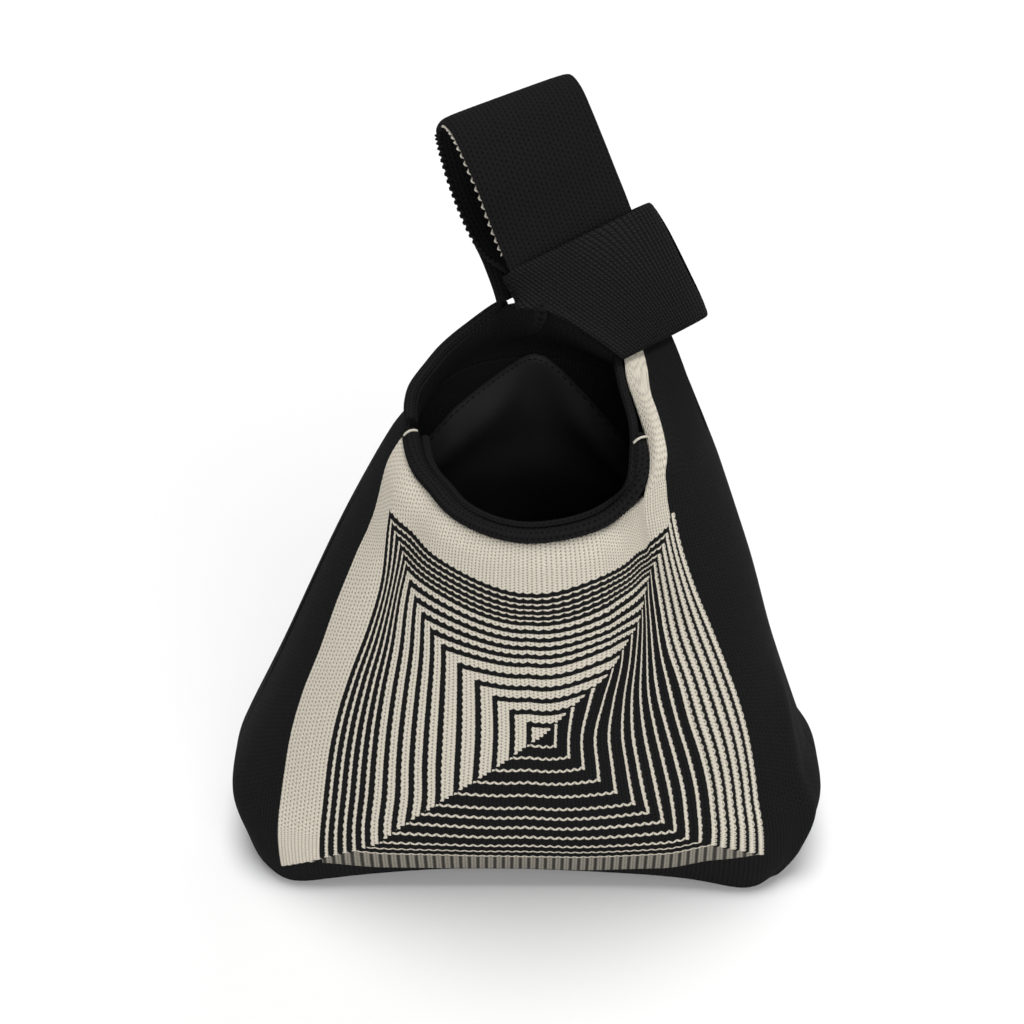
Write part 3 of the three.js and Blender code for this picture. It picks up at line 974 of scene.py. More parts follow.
@dataclass(frozen=True)
class KnitFinish:
    """A knit surface in one yarn, or in two with the nested squares."""

    name: str
    yarn: Yarn
    relief: float = 0.55
    lean: float = 0.8
    squares: bool = False
    distance: float = 0.0006
    rib: float = 0.0
    # How strongly the gaps between stitches are darkened: painted shade.
    shade: float = 0.62
    shine: float = 0.06

    def build(self, stitches: bpy.types.NodeTree, squares: bpy.types.NodeTree) -> bpy.types.Material:
        """Make the material.

        Args:
            stitches: The group that gives relief and the painted shade in the gaps.
            squares: The group that draws the two-yarn pattern.

        Returns:
            The knit material.
        """
        material, sheet, shader = new_material(self.name, self.yarn.roughness, self.shine)
        where = sheet.node("ShaderNodeUVMap", uv_map="stitches")
        knit = sheet.node("ShaderNodeGroup", node_tree=stitches)
        sheet.feed(knit.inputs["Stitches"], where.outputs[0])
        knit.inputs["Lean"].default_value = self.lean
        knit.inputs["Rib"].default_value = self.rib
        fuzz = sheet.node("ShaderNodeTexNoise")
        fuzz.inputs["Scale"].default_value = 2.3
        fuzz.inputs["Detail"].default_value = 4.0
        sheet.feed(fuzz.inputs["Vector"], where.outputs[0])
        base = self.yarn.rgba()
        if self.squares:
            drawn = sheet.node("ShaderNodeGroup", node_tree=squares)
            for label in ("Across", "Level", "Sway", "Swing"):
                sheet.feed(drawn.inputs[label], knit.outputs[label])
            base = sheet.blend(drawn.outputs["Cream"], BLACK_YARN.rgba(), CREAM_YARN.rgba())
        # Random yarn tone from the fuzz noise, darkened in the gaps between stitches by painted shade.
        shade = sheet.span(fuzz.outputs["Fac"], 0.25, 0.75, 0.82, 1.06)
        dark = sheet.math("MULTIPLY", shade, sheet.math("MULTIPLY_ADD", knit.outputs["Gap Shade"], -self.shade, 1.0))
        toned = sheet.node("ShaderNodeMix", data_type="RGBA", blend_type="MULTIPLY")
        toned.inputs["Factor"].default_value = 1.0
        sheet.feed(toned.inputs[6], base)
        grey = sheet.node("ShaderNodeCombineColor")
        for socket in grey.inputs:
            sheet.feed(socket, dark)
        sheet.feed(toned.inputs[7], grey.outputs[0])
        sheet.feed(shader.inputs["Base Color"], toned.outputs[2])
        height = sheet.math("MULTIPLY_ADD", fuzz.outputs["Fac"], 0.35, knit.outputs["Relief"])
        add_relief(sheet, shader, height, self.relief, self.distance)
        return material


@dataclass(frozen=True)
class WovenFinish:
    """A smooth woven lining cloth."""

    name: str = "lining_cloth"
    colour: tuple[float, float, float] = (0.0118, 0.0118, 0.0123)
    light_tone: float = 1.7
    roughness: float = 0.55
    shine: float = 0.25
    relief: float = 0.2
    distance: float = 0.0002

    def build(self) -> bpy.types.Material:
        """Make the lining's material.

        Returns:
            The lining material.
        """
        material, sheet, shader = new_material(self.name, self.roughness, self.shine)
        where = sheet.node("ShaderNodeTexCoord")
        weave = sheet.node("ShaderNodeTexWave", bands_direction="Z")
        weave.inputs["Scale"].default_value = 900.0
        weave.inputs["Distortion"].default_value = 1.5
        sheet.feed(weave.inputs["Vector"], where.outputs["Object"])
        cloud = sheet.node("ShaderNodeTexNoise")
        cloud.inputs["Scale"].default_value = 26.0
        sheet.feed(cloud.inputs["Vector"], where.outputs["Object"])
        tone = sheet.span(cloud.outputs["Fac"], 0.3, 0.7)
        base = sheet.blend(tone, (*self.colour, 1.0), tuple(c * self.light_tone for c in self.colour) + (1.0,))
        sheet.feed(shader.inputs["Base Color"], base)
        add_relief(sheet, shader, weave.outputs["Fac"], self.relief, self.distance)
        return material


@dataclass(frozen=True)
class ThreadFinish:
    """A twisted sewing thread."""

    name: str
    colour: tuple[float, float, float]
    dark_tone: float = 0.72
    roughness: float = 0.85
    shine: float = 0.1
    relief: float = 0.4
    distance: float = 0.0002

    def build(self) -> bpy.types.Material:
        """Make the thread's material.

        Returns:
            The thread material.
        """
        material, sheet, shader = new_material(self.name, self.roughness, self.shine)
        where = sheet.node("ShaderNodeUVMap", uv_map="stitches")
        twist = sheet.node("ShaderNodeTexWave", bands_direction="DIAGONAL")
        twist.inputs["Scale"].default_value = 1.2
        sheet.feed(twist.inputs["Vector"], where.outputs[0])
        dark = tuple(c * self.dark_tone for c in self.colour) + (1.0,)
        sheet.feed(shader.inputs["Base Color"], sheet.blend(twist.outputs["Fac"], dark, (*self.colour, 1.0)))
        add_relief(sheet, shader, twist.outputs["Fac"], self.relief, self.distance)
        return material


class Wardrobe:
    """Every finish of the bag, made once."""

    def __init__(self) -> None:
        """Build the shared node groups and the materials."""
        stitches = knit_group()
        squares = squares_group()
        self.jacquard = KnitFinish("jacquard_knit", CREAM_YARN, squares=True).build(stitches, squares)
        self.black_knit = KnitFinish("black_knit", BLACK_YARN).build(stitches, squares)
        ribbed = KnitFinish("ribbed_black_knit", LIT_RIB_YARN, relief=1.0, lean=0.35, distance=0.001, rib=1.0, shade=0.8)
        self.ribbed_knit = ribbed.build(stitches, squares)
        self.lining = WovenFinish().build()
        self.cream_thread = ThreadFinish("cream_thread", (0.74, 0.69, 0.59)).build()
        self.black_thread = ThreadFinish("black_thread", (0.014, 0.014, 0.015)).build()


@dataclass(frozen=True)
class KnitChart:
    """Where the front's knit columns and rows lie on the gathered cloth."""

    columns: tuple[float, ...] = (-61, -48.5, -38, -26, -14, 0, 14, 26, 35, 41, 51.5)
    girths: tuple[tuple[float, ...], ...] = (
        (0.0, -103, -83.4, -62.8, -40.8, -19.8, 4.2, 28, 48.5, 63.7, 74.7, 96.8),
        (0.1, -106, -85.1, -63.6, -41.3, -19.8, 4.3, 28, 48.5, 64.2, 74.9, 98.2),
        (0.2, -108, -85.1, -64.2, -41.9, -19.7, 4.4, 28, 49.4, 64.3, 76, 99.4),
        (0.3, -108, -84.1, -62.6, -40, -18.7, 4.8, 26.5, 45.8, 62.8, 74.8, 99.3),
        (0.4, -107.5, -82.7, -61.5, -39.7, -17.2, 5.5, 25, 42.7, 59.1, 71.2, 97.3),
        (0.5, -104.5, -80.2, -60.3, -38.9, -16.3, 5.9, 23.8, 40.2, 54.8, 66, 93),
        (0.6, -99, -76.2, -58.7, -38, -16.4, 5.2, 27.3, 40, 50.9, 61.9, 86.8),
        (0.7, -95, -71.4, -56.8, -37.6, -17.2, 4.3, 31.7, 42, 49.5, 57, 79.8),
        (0.8, -89.5, -69, -56.6, -38.7, -18.7, 3.3, 31.1, 43.8, 49.5, 55.1, 72.4),
        (0.9, -84, -71.4, -55.3, -38.5, -19.7, 2.6, 29.3, 43.4, 50.7, 52.9, 66.6),
        (1.0, -91, -74.9, -57.2, -38.2, -18.8, 2.1, 27.8, 40.8, 47.9, 50.2, 63.3),
    )
    row_rate: float = 0.0097
    row_bend: float = 0.00003
    outer_rate: float = 0.535
    settle: tuple[tuple[float, float], ...] = (
        (0, 0),
        (0.09, 0.01),
        (0.16, 0.002),
        (0.3, 0),
        (0.5, -0.005),
        (0.65, -0.009),
        (0.73, -0.012),
        (0.8, -0.015),
        (0.86, -0.016),
        (0.91, -0.011),
        (1, -0.011),
    )
    foot_share: float = 0.12
    foot_depth: float = 0.094
    foot_rows: float = 8.0

    def column(self, girth: float, share: float) -> float:
        """Return the knit column at a way round the body and a share of the courses.

        Args:
            girth: Millimetres from the front's middle, as BodyForm.girth gives them.
            share: 0 at the base and 1 at the plain rim.

        Returns:
            The column, counted from the squares' middle.
        """
        lines = through(self.girths, min(max(share, 0.0), 1.0))
        if girth <= lines[0]:
            return self.columns[0] + (girth - lines[0]) * self.outer_rate
        for low, high, first, second in zip(lines, lines[1:], self.columns, self.columns[1:]):
            if girth <= high:
                return mix(first, second, (girth - low) / (high - low))
        return self.columns[-1] + (girth - lines[-1]) * self.outer_rate

    def row(self, column: float, share: float) -> float:
        """Return the knit row at a share of the courses, counted from the squares' middle.

        Args:
            column: The knit column, counted from the same middle.
            share: 0 at the base and 1 at the plain rim.

        Returns:
            The row.
        """
        if column > 0:
            low = 0.032 * (1 - hump(0, 24, column)) + 0.02 * ease(30, 42, column)
            middle = 0.065 * (1 - hump(0, 14, column))
            high = 0.06 * (1 - hump(0, 17, column))
            crest = 0.025 * (1 - hump(0, 12, column)) + 0.03 * ease(34, 50, column)
        else:
            low = 0.028 * (1 - hump(0, 20, column)) + 0.01 * ease(35, 47, -column)
            middle = 0.042 * (1 - hump(0, 20, column))
            high = 0.05 * (1 - hump(0, 21, column))
            crest = 0.028 * (1 - hump(0, 17, column))
        lower = mix(low, middle, ease(0.3, 0.6, share))
        lift = mix(lower, mix(high, crest, ease(0.84, 0.92, share)), ease(0.72, 0.8, share))
        level = share - lift - through(self.settle, min(max(share, 0.0), 1.0))[0]
        inner = max(1e-6, self.row_rate**2 - 4 * self.row_bend * (level - 0.5))
        found = (self.row_rate - math.sqrt(inner)) / (2 * self.row_bend)
        return found - self.foot_rows * max(0.0, (self.foot_share - level) / self.foot_depth) ** 1.4


@dataclass
class Body:
    """The knit body: front and back panels with the handle legs knit on, and the base."""

    chart: KnitChart = field(default_factory=KnitChart)
    steps_round: int = 180
    steps_up: int = 130
    leg_rows: int = 36
    front_leg: tuple[float, float] = (-52.0, -4.0)
    back_leg: tuple[float, float] = (48.0, 4.0)
    leg_entry: tuple[float, float] = (-3.0, 15.5)
    leg_sway: tuple[tuple[float, float], ...] = (
        (0, 0),
        (0.15, 3.1),
        (0.3, 3.6),
        (0.45, 1.7),
        (0.6, -0.5),
        (0.75, -1.8),
        (0.9, -0.3),
        (1, 0),
    )
    stripe: tuple[tuple[float, float], ...] = (
        (0, 0.19),
        (0.15, 0.22),
        (0.3, 0.22),
        (0.45, 0.24),
        (0.6, 0.26),
        (0.75, 0.35),
        (0.9, 0.38),
        (1, 0.38),
    )
    frame_column: float = 50.4
    leg_courses: int = 24
    just_below: float = 0.97
    leg_end: float = 8.0
    blend_from: Vector = field(default_factory=lambda: Vector((45, 10, 209)))
    blend_to: Vector = field(default_factory=lambda: Vector((45, 10, 229)))

    def front_place(self, u: float, v: float) -> Vector:
        """Return a point of the front panel's outer face.

        Args:
            u: 0 to 1 along the first way of the cloth.
            v: 0 to 1 along the second way of the cloth.

        Returns:
            The point in millimetres.
        """
        angle = Side.FRONT.value + 180 * u
        rim = FORM.rim_height(angle)
        height = mix(FORM.hem_height(angle), rim, v)
        return FORM.point(angle, height, FORM.turn_in(angle, rim - height))

    def front_stitches(self, u: float, v: float) -> tuple[float, float]:
        """Return the front panel's column and row.

        Args:
            u: 0 to 1 along the first way of the cloth.
            v: 0 to 1 along the second way of the cloth.

        Returns:
            The column and row of the map.
        """
        angle = Side.FRONT.value + 180 * u
        height = mix(FORM.hem_height(angle), FORM.rim_height(angle), v)
        share = FORM.course_share(angle, height)
        column = self.chart.column(FORM.girth(angle, height), share)
        return column, self.chart.row(column, share)

    def leg_point(self, foot: Vector, below: Vector, share_round: float, v: float, out: float) -> Vector:
        """Return a point of a long handle leg, from the body's rim up into the ring.

        Args:
            foot: The point on the rim that it leaves from.
            below: A point of the body just below it.
            share_round: 0 on the leg's neck side and 1 on its outer side.
            v: 0 at the rim and 1 inside the ring.
            out: The side of the long handle's middle that it lies on, in millimetres.

        Returns:
            The point in millimetres.
        """
        across = mix(*self.leg_entry, share_round)
        head = HANDLE.point(self.leg_end - HANDLE.length / 2, across, out)
        reach = (head - foot).length
        first = foot + (foot - below).normalized() * (reach / 3)
        second = head - HANDLE.up * (reach / 3)
        return bezier(foot, first, second, head, v)

    def front_leg_point(self, u: float, v: float) -> Vector:
        """Return a point of the long handle's front leg.

        Args:
            u: 0 on the mouth's side and 1 on the outer side.
            v: 0 at the rim and 1 inside the ring.

        Returns:
            The point in millimetres.
        """
        start, end = self.front_leg
        share = (mix(start, end, u) + 180) / 180
        plain = self.leg_point(self.front_place(share, 1.0), self.front_place(share, self.just_below), u, v, 2.6)
        return plain + HANDLE.across * (through(self.leg_sway, v)[0] * (1 - u) ** 2)

    def draw_up(self, piece: bpy.types.Object) -> None:
        """Bake the placement of a piece of the body into its mesh."""
        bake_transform(piece)

    def build_front(self, wardrobe: Wardrobe) -> bpy.types.Object:
        """Make the front panel with the long handle's front leg knit on.

        Args:
            wardrobe: The finishes.

        Returns:
            The piece's object.
        """
        cloth = woven_grid(self.front_place, self.front_stitches, self.steps_round, self.steps_up)
        start, end = self.front_leg
        columns = round(end - start)

        def leg_stitches(u: float, v: float) -> tuple[float, float]:
            """Return the leg's column and row, cream near the mouth and black outside.

            Args:
                u: 0 to 1 along the first way of the cloth.
                v: 0 to 1 along the second way of the cloth.

            Returns:
                The column and row of the map.
            """
            column, row = self.front_stitches((mix(start, end, u) + 180) / 180, 1.0)
            striped = self.frame_column + (u - through(self.stripe, v)[0]) * 50
            return mix(column, striped, ease(0.0, 0.12, v)), row + v * self.leg_courses

        add_cloth(cloth, woven_grid(self.front_leg_point, leg_stitches, columns, self.leg_rows))
        piece = new_piece("front_knit", cloth, wardrobe.jacquard)
        thicken(piece, FORM.knit)
        self.draw_up(piece)
        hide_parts("front_panel", "long_handle_front_leg")
        return piece

    def back_place(self, u: float, v: float) -> Vector:
        """Return a point of the back panel's outer face.

        Args:
            u: 0 to 1 along the first way of the cloth.
            v: 0 to 1 along the second way of the cloth.

        Returns:
            The point in millimetres.
        """
        angle = Side.BACK.value + 180 * u
        height = mix(FORM.hem_height(angle), FORM.shoulder, v)
        return FORM.point(angle, height, FORM.turn_in(angle, FORM.shoulder - height))

    def back_stitches(self, u: float, v: float) -> tuple[float, float]:
        """Return the back panel's column and row."""
        return 140 * u + 60, 115 * v

    def build_back(self, wardrobe: Wardrobe) -> bpy.types.Object:
        """Make the back panel with the long handle's back leg knit on.

        Args:
            wardrobe: The finishes.

        Returns:
            The piece's object.
        """
        cloth = woven_grid(self.back_place, self.back_stitches, self.steps_round, self.steps_up)
        start, end = self.back_leg
        columns = round(start - end)

        def leg_place(u: float, v: float) -> Vector:
            """Return a point of the back leg.

            Args:
                u: 0 to 1 along the first way of the cloth.
                v: 0 to 1 along the second way of the cloth.

            Returns:
                The point in millimetres.
            """
            share = mix(end, start, u) / 180
            below = self.back_place(share, self.just_below)
            return self.leg_point(self.back_place(share, 1.0), below, 1 - u, v, -1.0)

        def leg_stitches(u: float, v: float) -> tuple[float, float]:
            """Return the back leg's column and row."""
            column, row = self.back_stitches(mix(end, start, u) / 180, 1.0)
            return column, row + v * self.leg_courses

        add_cloth(cloth, woven_grid(leg_place, leg_stitches, columns, self.leg_rows))
        piece = new_piece("back_knit", cloth, wardrobe.black_knit)
        thicken(piece, FORM.knit)
        self.draw_up(piece)
        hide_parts("back_panel", "long_handle_back_leg")
        return piece

    def build_base(self, wardrobe: Wardrobe) -> bpy.types.Object:
        """Make the base panel under the hem.

        Args:
            wardrobe: The finishes.

        Returns:
            The piece's object.
        """

        def place(u: float, v: float) -> Vector:
            """Return a point of the base, from its edge to its middle.

            Args:
                u: 0 to 1 round the edge.
                v: 0 at the edge and 1 in the middle.

            Returns:
                The point in millimetres.
            """
            angle = 360 * u - 180
            rim = FORM.point(angle, FORM.hem_height(angle), FORM.knit / 2)
            point = Vector((rim.x, rim.y, 0)) * (1 - TO_MIDDLE * v)
            edge = ease(0.0, 0.5, v)
            return point + Vector((0, 0, mix(FORM.hem_height(angle) + 0.9, 2.4, edge)))

        def stitches(u: float, v: float) -> tuple[float, float]:
            """Return the base's map."""
            point = place(u, v)
            return point.x / 1.75, point.y / 1.6

        cloth = woven_grid(place, stitches, 120, 16, wrap=0.2)
        piece = new_piece("base_knit", cloth, wardrobe.black_knit)
        thicken(piece, 2.0)
        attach(piece, "bag")
        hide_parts("base_panel")
        return piece


@dataclass
class Lining:
    """The woven lining inside the body, sewn on by an arched seam."""

    depth: float = 3.5
    thickness: float = 0.8
    floor: float = 8.0
    front_drop: float = 14.0
    body_top: float = 207.0
    seam_span: tuple[float, float] = (48.0, 142.0)
    seam_count: int = 46
    dash: float = 1.25
    seam: tuple[tuple[float, float], ...] = (
        (0, 150),
        (30, 152),
        (50, 158),
        (59.2, 168.8),
        (63.6, 179.8),
        (70.6, 192.6),
        (78.9, 203.9),
        (84, 208.6),
        (88, 209.8),
        (93.9, 207.7),
        (103.2, 202.2),
        (113.1, 195.6),
        (122.4, 188.5),
        (130.8, 176.9),
        (140, 167),
        (155, 160),
        (180, 158),
    )

    def seam_height(self, angle: float) -> float:
        """Return the height of the lining's top seam on the back wall.

        Args:
            angle: Degrees from the right towards the back.

        Returns:
            Millimetres above the surface that the bag stands on.
        """
        for (low, low_height), (high, high_height) in zip(self.seam, self.seam[1:]):
            if angle <= high:
                return mix(low_height, high_height, (angle - low) / (high - low))
        return self.seam[-1][1]

    def lay(self, angle: float, height: float, depth: float) -> Vector:
        """Return a point at a depth inside the body, which runs straight up above its top."""
        above = max(0.0, height - self.body_top)
        return FORM.point(angle, min(height, self.body_top), depth) + Vector((0, 0, above))

    def build_wall(self, wardrobe: Wardrobe, side: Side) -> bpy.types.Object:
        """Make one half of the lining's wall.

        Args:
            wardrobe: The finishes.
            side: The half of the body that it lines.

        Returns:
            The lining's object.
        """
        front = side is Side.FRONT

        def place(u: float, v: float) -> Vector:
            """Return a point of the lining, with its soft ridges.

            Args:
                u: 0 to 1 along the first way of the cloth.
                v: 0 to 1 along the second way of the cloth.

            Returns:
                The point in millimetres.
            """
            angle = side.value + 180 * u
            top = FORM.rim_height(angle) - self.front_drop if front else self.seam_height(angle)
            height = mix(self.floor, top, v)
            below = top - height
            middle = 3.5 * hump(87, 16, angle) * ease(34, 56, below)
            ridge = 5 * hump(19, 12, below) * (1 - hump(87, 13, angle)) + middle
            edge = 0.0 if front else ridge * ease(0, 8, below) - 0.5 * (1 - ease(0, 3, below))
            return self.lay(angle, height, self.depth + edge)

        name = "lining_front_cloth" if front else "lining_back_cloth"
        cloth = woven_grid(place, lambda u, v: (u * 100, v * 100), 120, 60)
        piece = new_piece(name, cloth, wardrobe.lining)
        thicken(piece, self.thickness)
        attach(piece, "bag")
        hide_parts("lining_front" if front else "lining_back")
        return piece

    def build_floor(self, wardrobe: Wardrobe) -> bpy.types.Object:
        """Make the lining's floor.

        Args:
            wardrobe: The finishes.

        Returns:
            The piece's object.
        """

        def place(u: float, v: float) -> Vector:
            """Return a point of the lining's floor.

            Args:
                u: 0 to 1 round the edge.
                v: 0 at the edge and 1 in the middle.

            Returns:
                The point in millimetres.
            """
            edge = FORM.point(360 * u - 180, self.floor + 1, self.depth)
            ripple = 0.8 * math.sin(edge.x * 0.05) * v
            return Vector((edge.x * (1 - TO_MIDDLE * v), edge.y * (1 - TO_MIDDLE * v), self.floor + ripple))

        cloth = woven_grid(place, lambda u, v: (u * 100, v * 20), 96, 12, wrap=0.2)
        piece = new_piece("lining_floor_cloth", cloth, wardrobe.lining)
        thicken(piece, self.thickness)
        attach(piece, "bag")
        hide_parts("lining_base")
        return piece

    def build_seam(self, wardrobe: Wardrobe) -> bpy.types.Object:
        """Make the line of stitches that sews the lining's edge to the knit.

        Args:
            wardrobe: The finishes.

        Returns:
            The piece's object.
        """
        seam = bmesh.new()
        for i in range(self.seam_count):
            start = mix(*self.seam_span, i / self.seam_count)
            end = start + self.dash

            def path(share: float, start: float = start, end: float = end) -> Vector:
                """Return a point of one dash of the seam.

                Args:
                    share: 0 at the dash's start and 1 at its end.
                    start: The angle of its start.
                    end: The angle of its end.

                Returns:
                    The point in millimetres.
                """
                angle = mix(start, end, share)
                height = self.seam_height(angle) - 1.8
                lift = 0.25 * math.sin(math.pi * share)
                return self.lay(angle, height, self.depth + self.thickness + lift)

            add_cloth(seam, strand(path, tapered(0.26, 0.3), 6, 6, Vector((0, -1, 0.2)), 0.6))
        piece = new_piece("lining_seam_stitches", seam, wardrobe.black_thread)
        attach(piece, "bag")
        return piece


@dataclass
class ShortHandle:
    """The short handle: the wall of the mouth, its fold up into the ring, and the ring."""

    thickness: float = 4.2
    half_depth: float = 8.4
    rib_pitch: float = 1.4
    right_bulge: tuple[tuple[float, float], ...] = ((-23, 3.6), (-8, 4.6), (8, 5.2), (23, 4.6))
    wall_start: float = 180.0
    wall_end: float = 46.5
    rim_knots: tuple[tuple[float, float, float], ...] = (
        (-42.3, -1, 211),
        (-42.4, 4, 214.7),
        (-40.8, 10, 217.7),
        (-35.8, 19, 220),
        (-30.3, 26.5, 222.8),
        (-21.9, 33, 226.9),
        (-10.4, 35, 235.1),
        (-2.5, 28, 242),
        (4.5, 20, 247),
    )

    @property
    def rim(self) -> Curve:
        """Return the mouth's rim on the left and back as a curve."""
        return Curve(tuple(Vector(knot) for knot in self.rim_knots))

    def fold_edge(self, share: float) -> Vector:
        """Return the upper edge of the wall: the mouth's rim, then the ring's slanted edge.

        Args:
            share: 0 at the left end of the mouth and 1 at the ring's lower corner.

        Returns:
            The point in millimetres.
        """
        if share <= 0.6:
            return self.rim.at(share / 0.6)
        across = mix(-21.0, -4.5, (share - 0.6) / 0.4)
        inside = HANDLE.point(HANDLE.foot(across) + 5.0, across, 1.5)
        return self.rim.at(1.0).lerp(inside, ease(0.6, 0.68, share))

    def build_wall(self, wardrobe: Wardrobe, body: Body) -> bpy.types.Object:
        """Make the wall of the mouth with its fold up into the ring.

        Args:
            wardrobe: The finishes.
            body: The body that it is knit on or sewn to.

        Returns:
            The piece's object.
        """

        def place(u: float, v: float) -> Vector:
            """Return a point of the wall, from the shoulder to its upper edge.

            Args:
                u: 0 to 1 along the first way of the cloth.
                v: 0 to 1 along the second way of the cloth.

            Returns:
                The point in millimetres.
            """
            share = 1 - u
            turn = mix(self.wall_start, self.wall_end, share) / 180
            inset = FORM.normal(180 * turn, 205) * (2.2 * (1 - ease(60, 80, 180 * turn)))
            foot, below = body.back_place(turn, 1.0) - inset, body.back_place(turn, body.just_below) - inset
            head = self.fold_edge(share)
            reach = (head - foot).length
            steer = 0.35 * ease(0.5, 0.75, share)
            first = foot + (foot - below).normalized() * (reach / 3)
            second = head - Vector((0, 0, 1)).lerp(HANDLE.up, steer) * (reach / 3)
            return bezier(foot, first, second, head, v)

        def stitches(u: float, v: float) -> tuple[float, float]:
            """Return the wall's column and row, which go on from the back panel's."""
            column, row = body.back_stitches(mix(self.wall_start, self.wall_end, 1 - u) / 180, 1.0)
            return column, row + v * 16

        piece = new_piece("mouth_wall_knit", woven_grid(place, stitches, 130, 30), wardrobe.black_knit)
        thicken(piece, FORM.knit - 0.4)
        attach(piece, "bag")
        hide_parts("short_handle_front_leg", "short_handle_back_leg")
        return piece

    def build_ring(self, wardrobe: Wardrobe) -> bpy.types.Object:
        """Make the flat ring, a closed band whose lower edge is slanted on the left.

        Args:
            wardrobe: The finishes.

        Returns:
            The piece's object.
        """
        corner = 2 / 2.5
        rows = 200
        wide = HANDLE.half_width - self.thickness / 2
        deep = self.half_depth - self.thickness / 2
        top = HANDLE.length / 2

        def loop(share: float, along: float) -> tuple[float, float]:
            """Return a point of the ring's round, seen along the handle.

            Args:
                share: 0 to 1 round the ring.
                along: Millimetres along the handle.

            Returns:
                Millimetres across the handle and out of its face.
            """
            turn = 2 * math.pi * share
            reach = power(math.cos(turn), corner)
            extra = through(self.right_bulge, along)[0] if reach > 0 else 0.0
            return (wide + extra) * reach, -deep * power(math.sin(turn), corner)

        def ends(across: float) -> tuple[float, float]:
            """Return how far the ring's lower and upper edges lie along the handle.

            Args:
                across: Millimetres across the handle.

            Returns:
                The lower edge and the upper edge, in millimetres.
            """
            corner_cut = 1 - math.sqrt(max(0.0, 1 - (max(0.0, -22.0 - across) / 7) ** 2))
            foot = HANDLE.foot(across) - 3.5 * ease(-15, -24, across)
            return foot + 5 * corner_cut, top - 6 * corner_cut

        def level(u: float, v: float) -> float:
            """Return how far along the handle a point of the ring's section lies."""
            foot, head = ends(loop(v, 0.0)[0])
            return mix(foot, head, 0.5) + (head - foot) / 2 * power(math.cos(2 * math.pi * (u + 0.125)), 2 / 5)

        def place(u: float, v: float) -> Vector:
            """Return a point of the ring, with its thickness, its rolled lower edge and its bulge.

            Args:
                u: 0 to 1 round the band's section.
                v: 0 to 1 round the ring.

            Returns:
                The point in millimetres.
            """
            along = level(u, v)
            across, out = loop(v, along)
            ahead, behind = loop(v + STEP, along), loop(v - STEP, along)
            face = Vector((-(ahead[1] - behind[1]), ahead[0] - behind[0], 0)).normalized() * -1
            foot, head = ends(loop(v, 0.0)[0])
            below = (head - along) / (head - foot)
            front = max(ease(0, 3, out), ease(-20, -25, across))
            roll = 1 + 0.8 * ease(-2, -8, across) * front * ease(0.7, 0.95, below)
            lift = self.thickness / 2 * power(math.sin(2 * math.pi * (u + 0.125)), 2 / 3) * roll
            bulge = 1.5 * math.sin(math.pi * below) * (1 if out > 0 else 0.3)
            return HANDLE.point(along, across + face.x * (lift + bulge), out + face.y * (lift + bulge))

        marks = [0.0]
        for i in range(rows):
            marks.append(marks[-1] + math.dist(loop(i / rows, 0.0), loop((i + 1) / rows, 0.0)))

        def stitches(u: float, v: float) -> tuple[float, float]:
            """Return the ring's map, whose ribs lean on its front.

            Args:
                u: 0 to 1 along the first way of the cloth.
                v: 0 to 1 along the second way of the cloth.

            Returns:
                The column and row of the map.
            """
            along, across = level(u, v), loop(v, 0.0)[0]
            slant = 0.487 * (1 - ease(-5, 28, across) if v >= 0.5 else ease(0.3, 0.5, v))
            return (marks[round(v * rows)] + slant * along) / self.rib_pitch, along / self.rib_pitch

        cloth = woven_grid(place, stitches, 72, rows, wrap=WELD)
        piece = new_piece("ring_knit", cloth, wardrobe.ribbed_knit)
        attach(piece, "bag")
        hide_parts("short_handle_ring")
        return piece


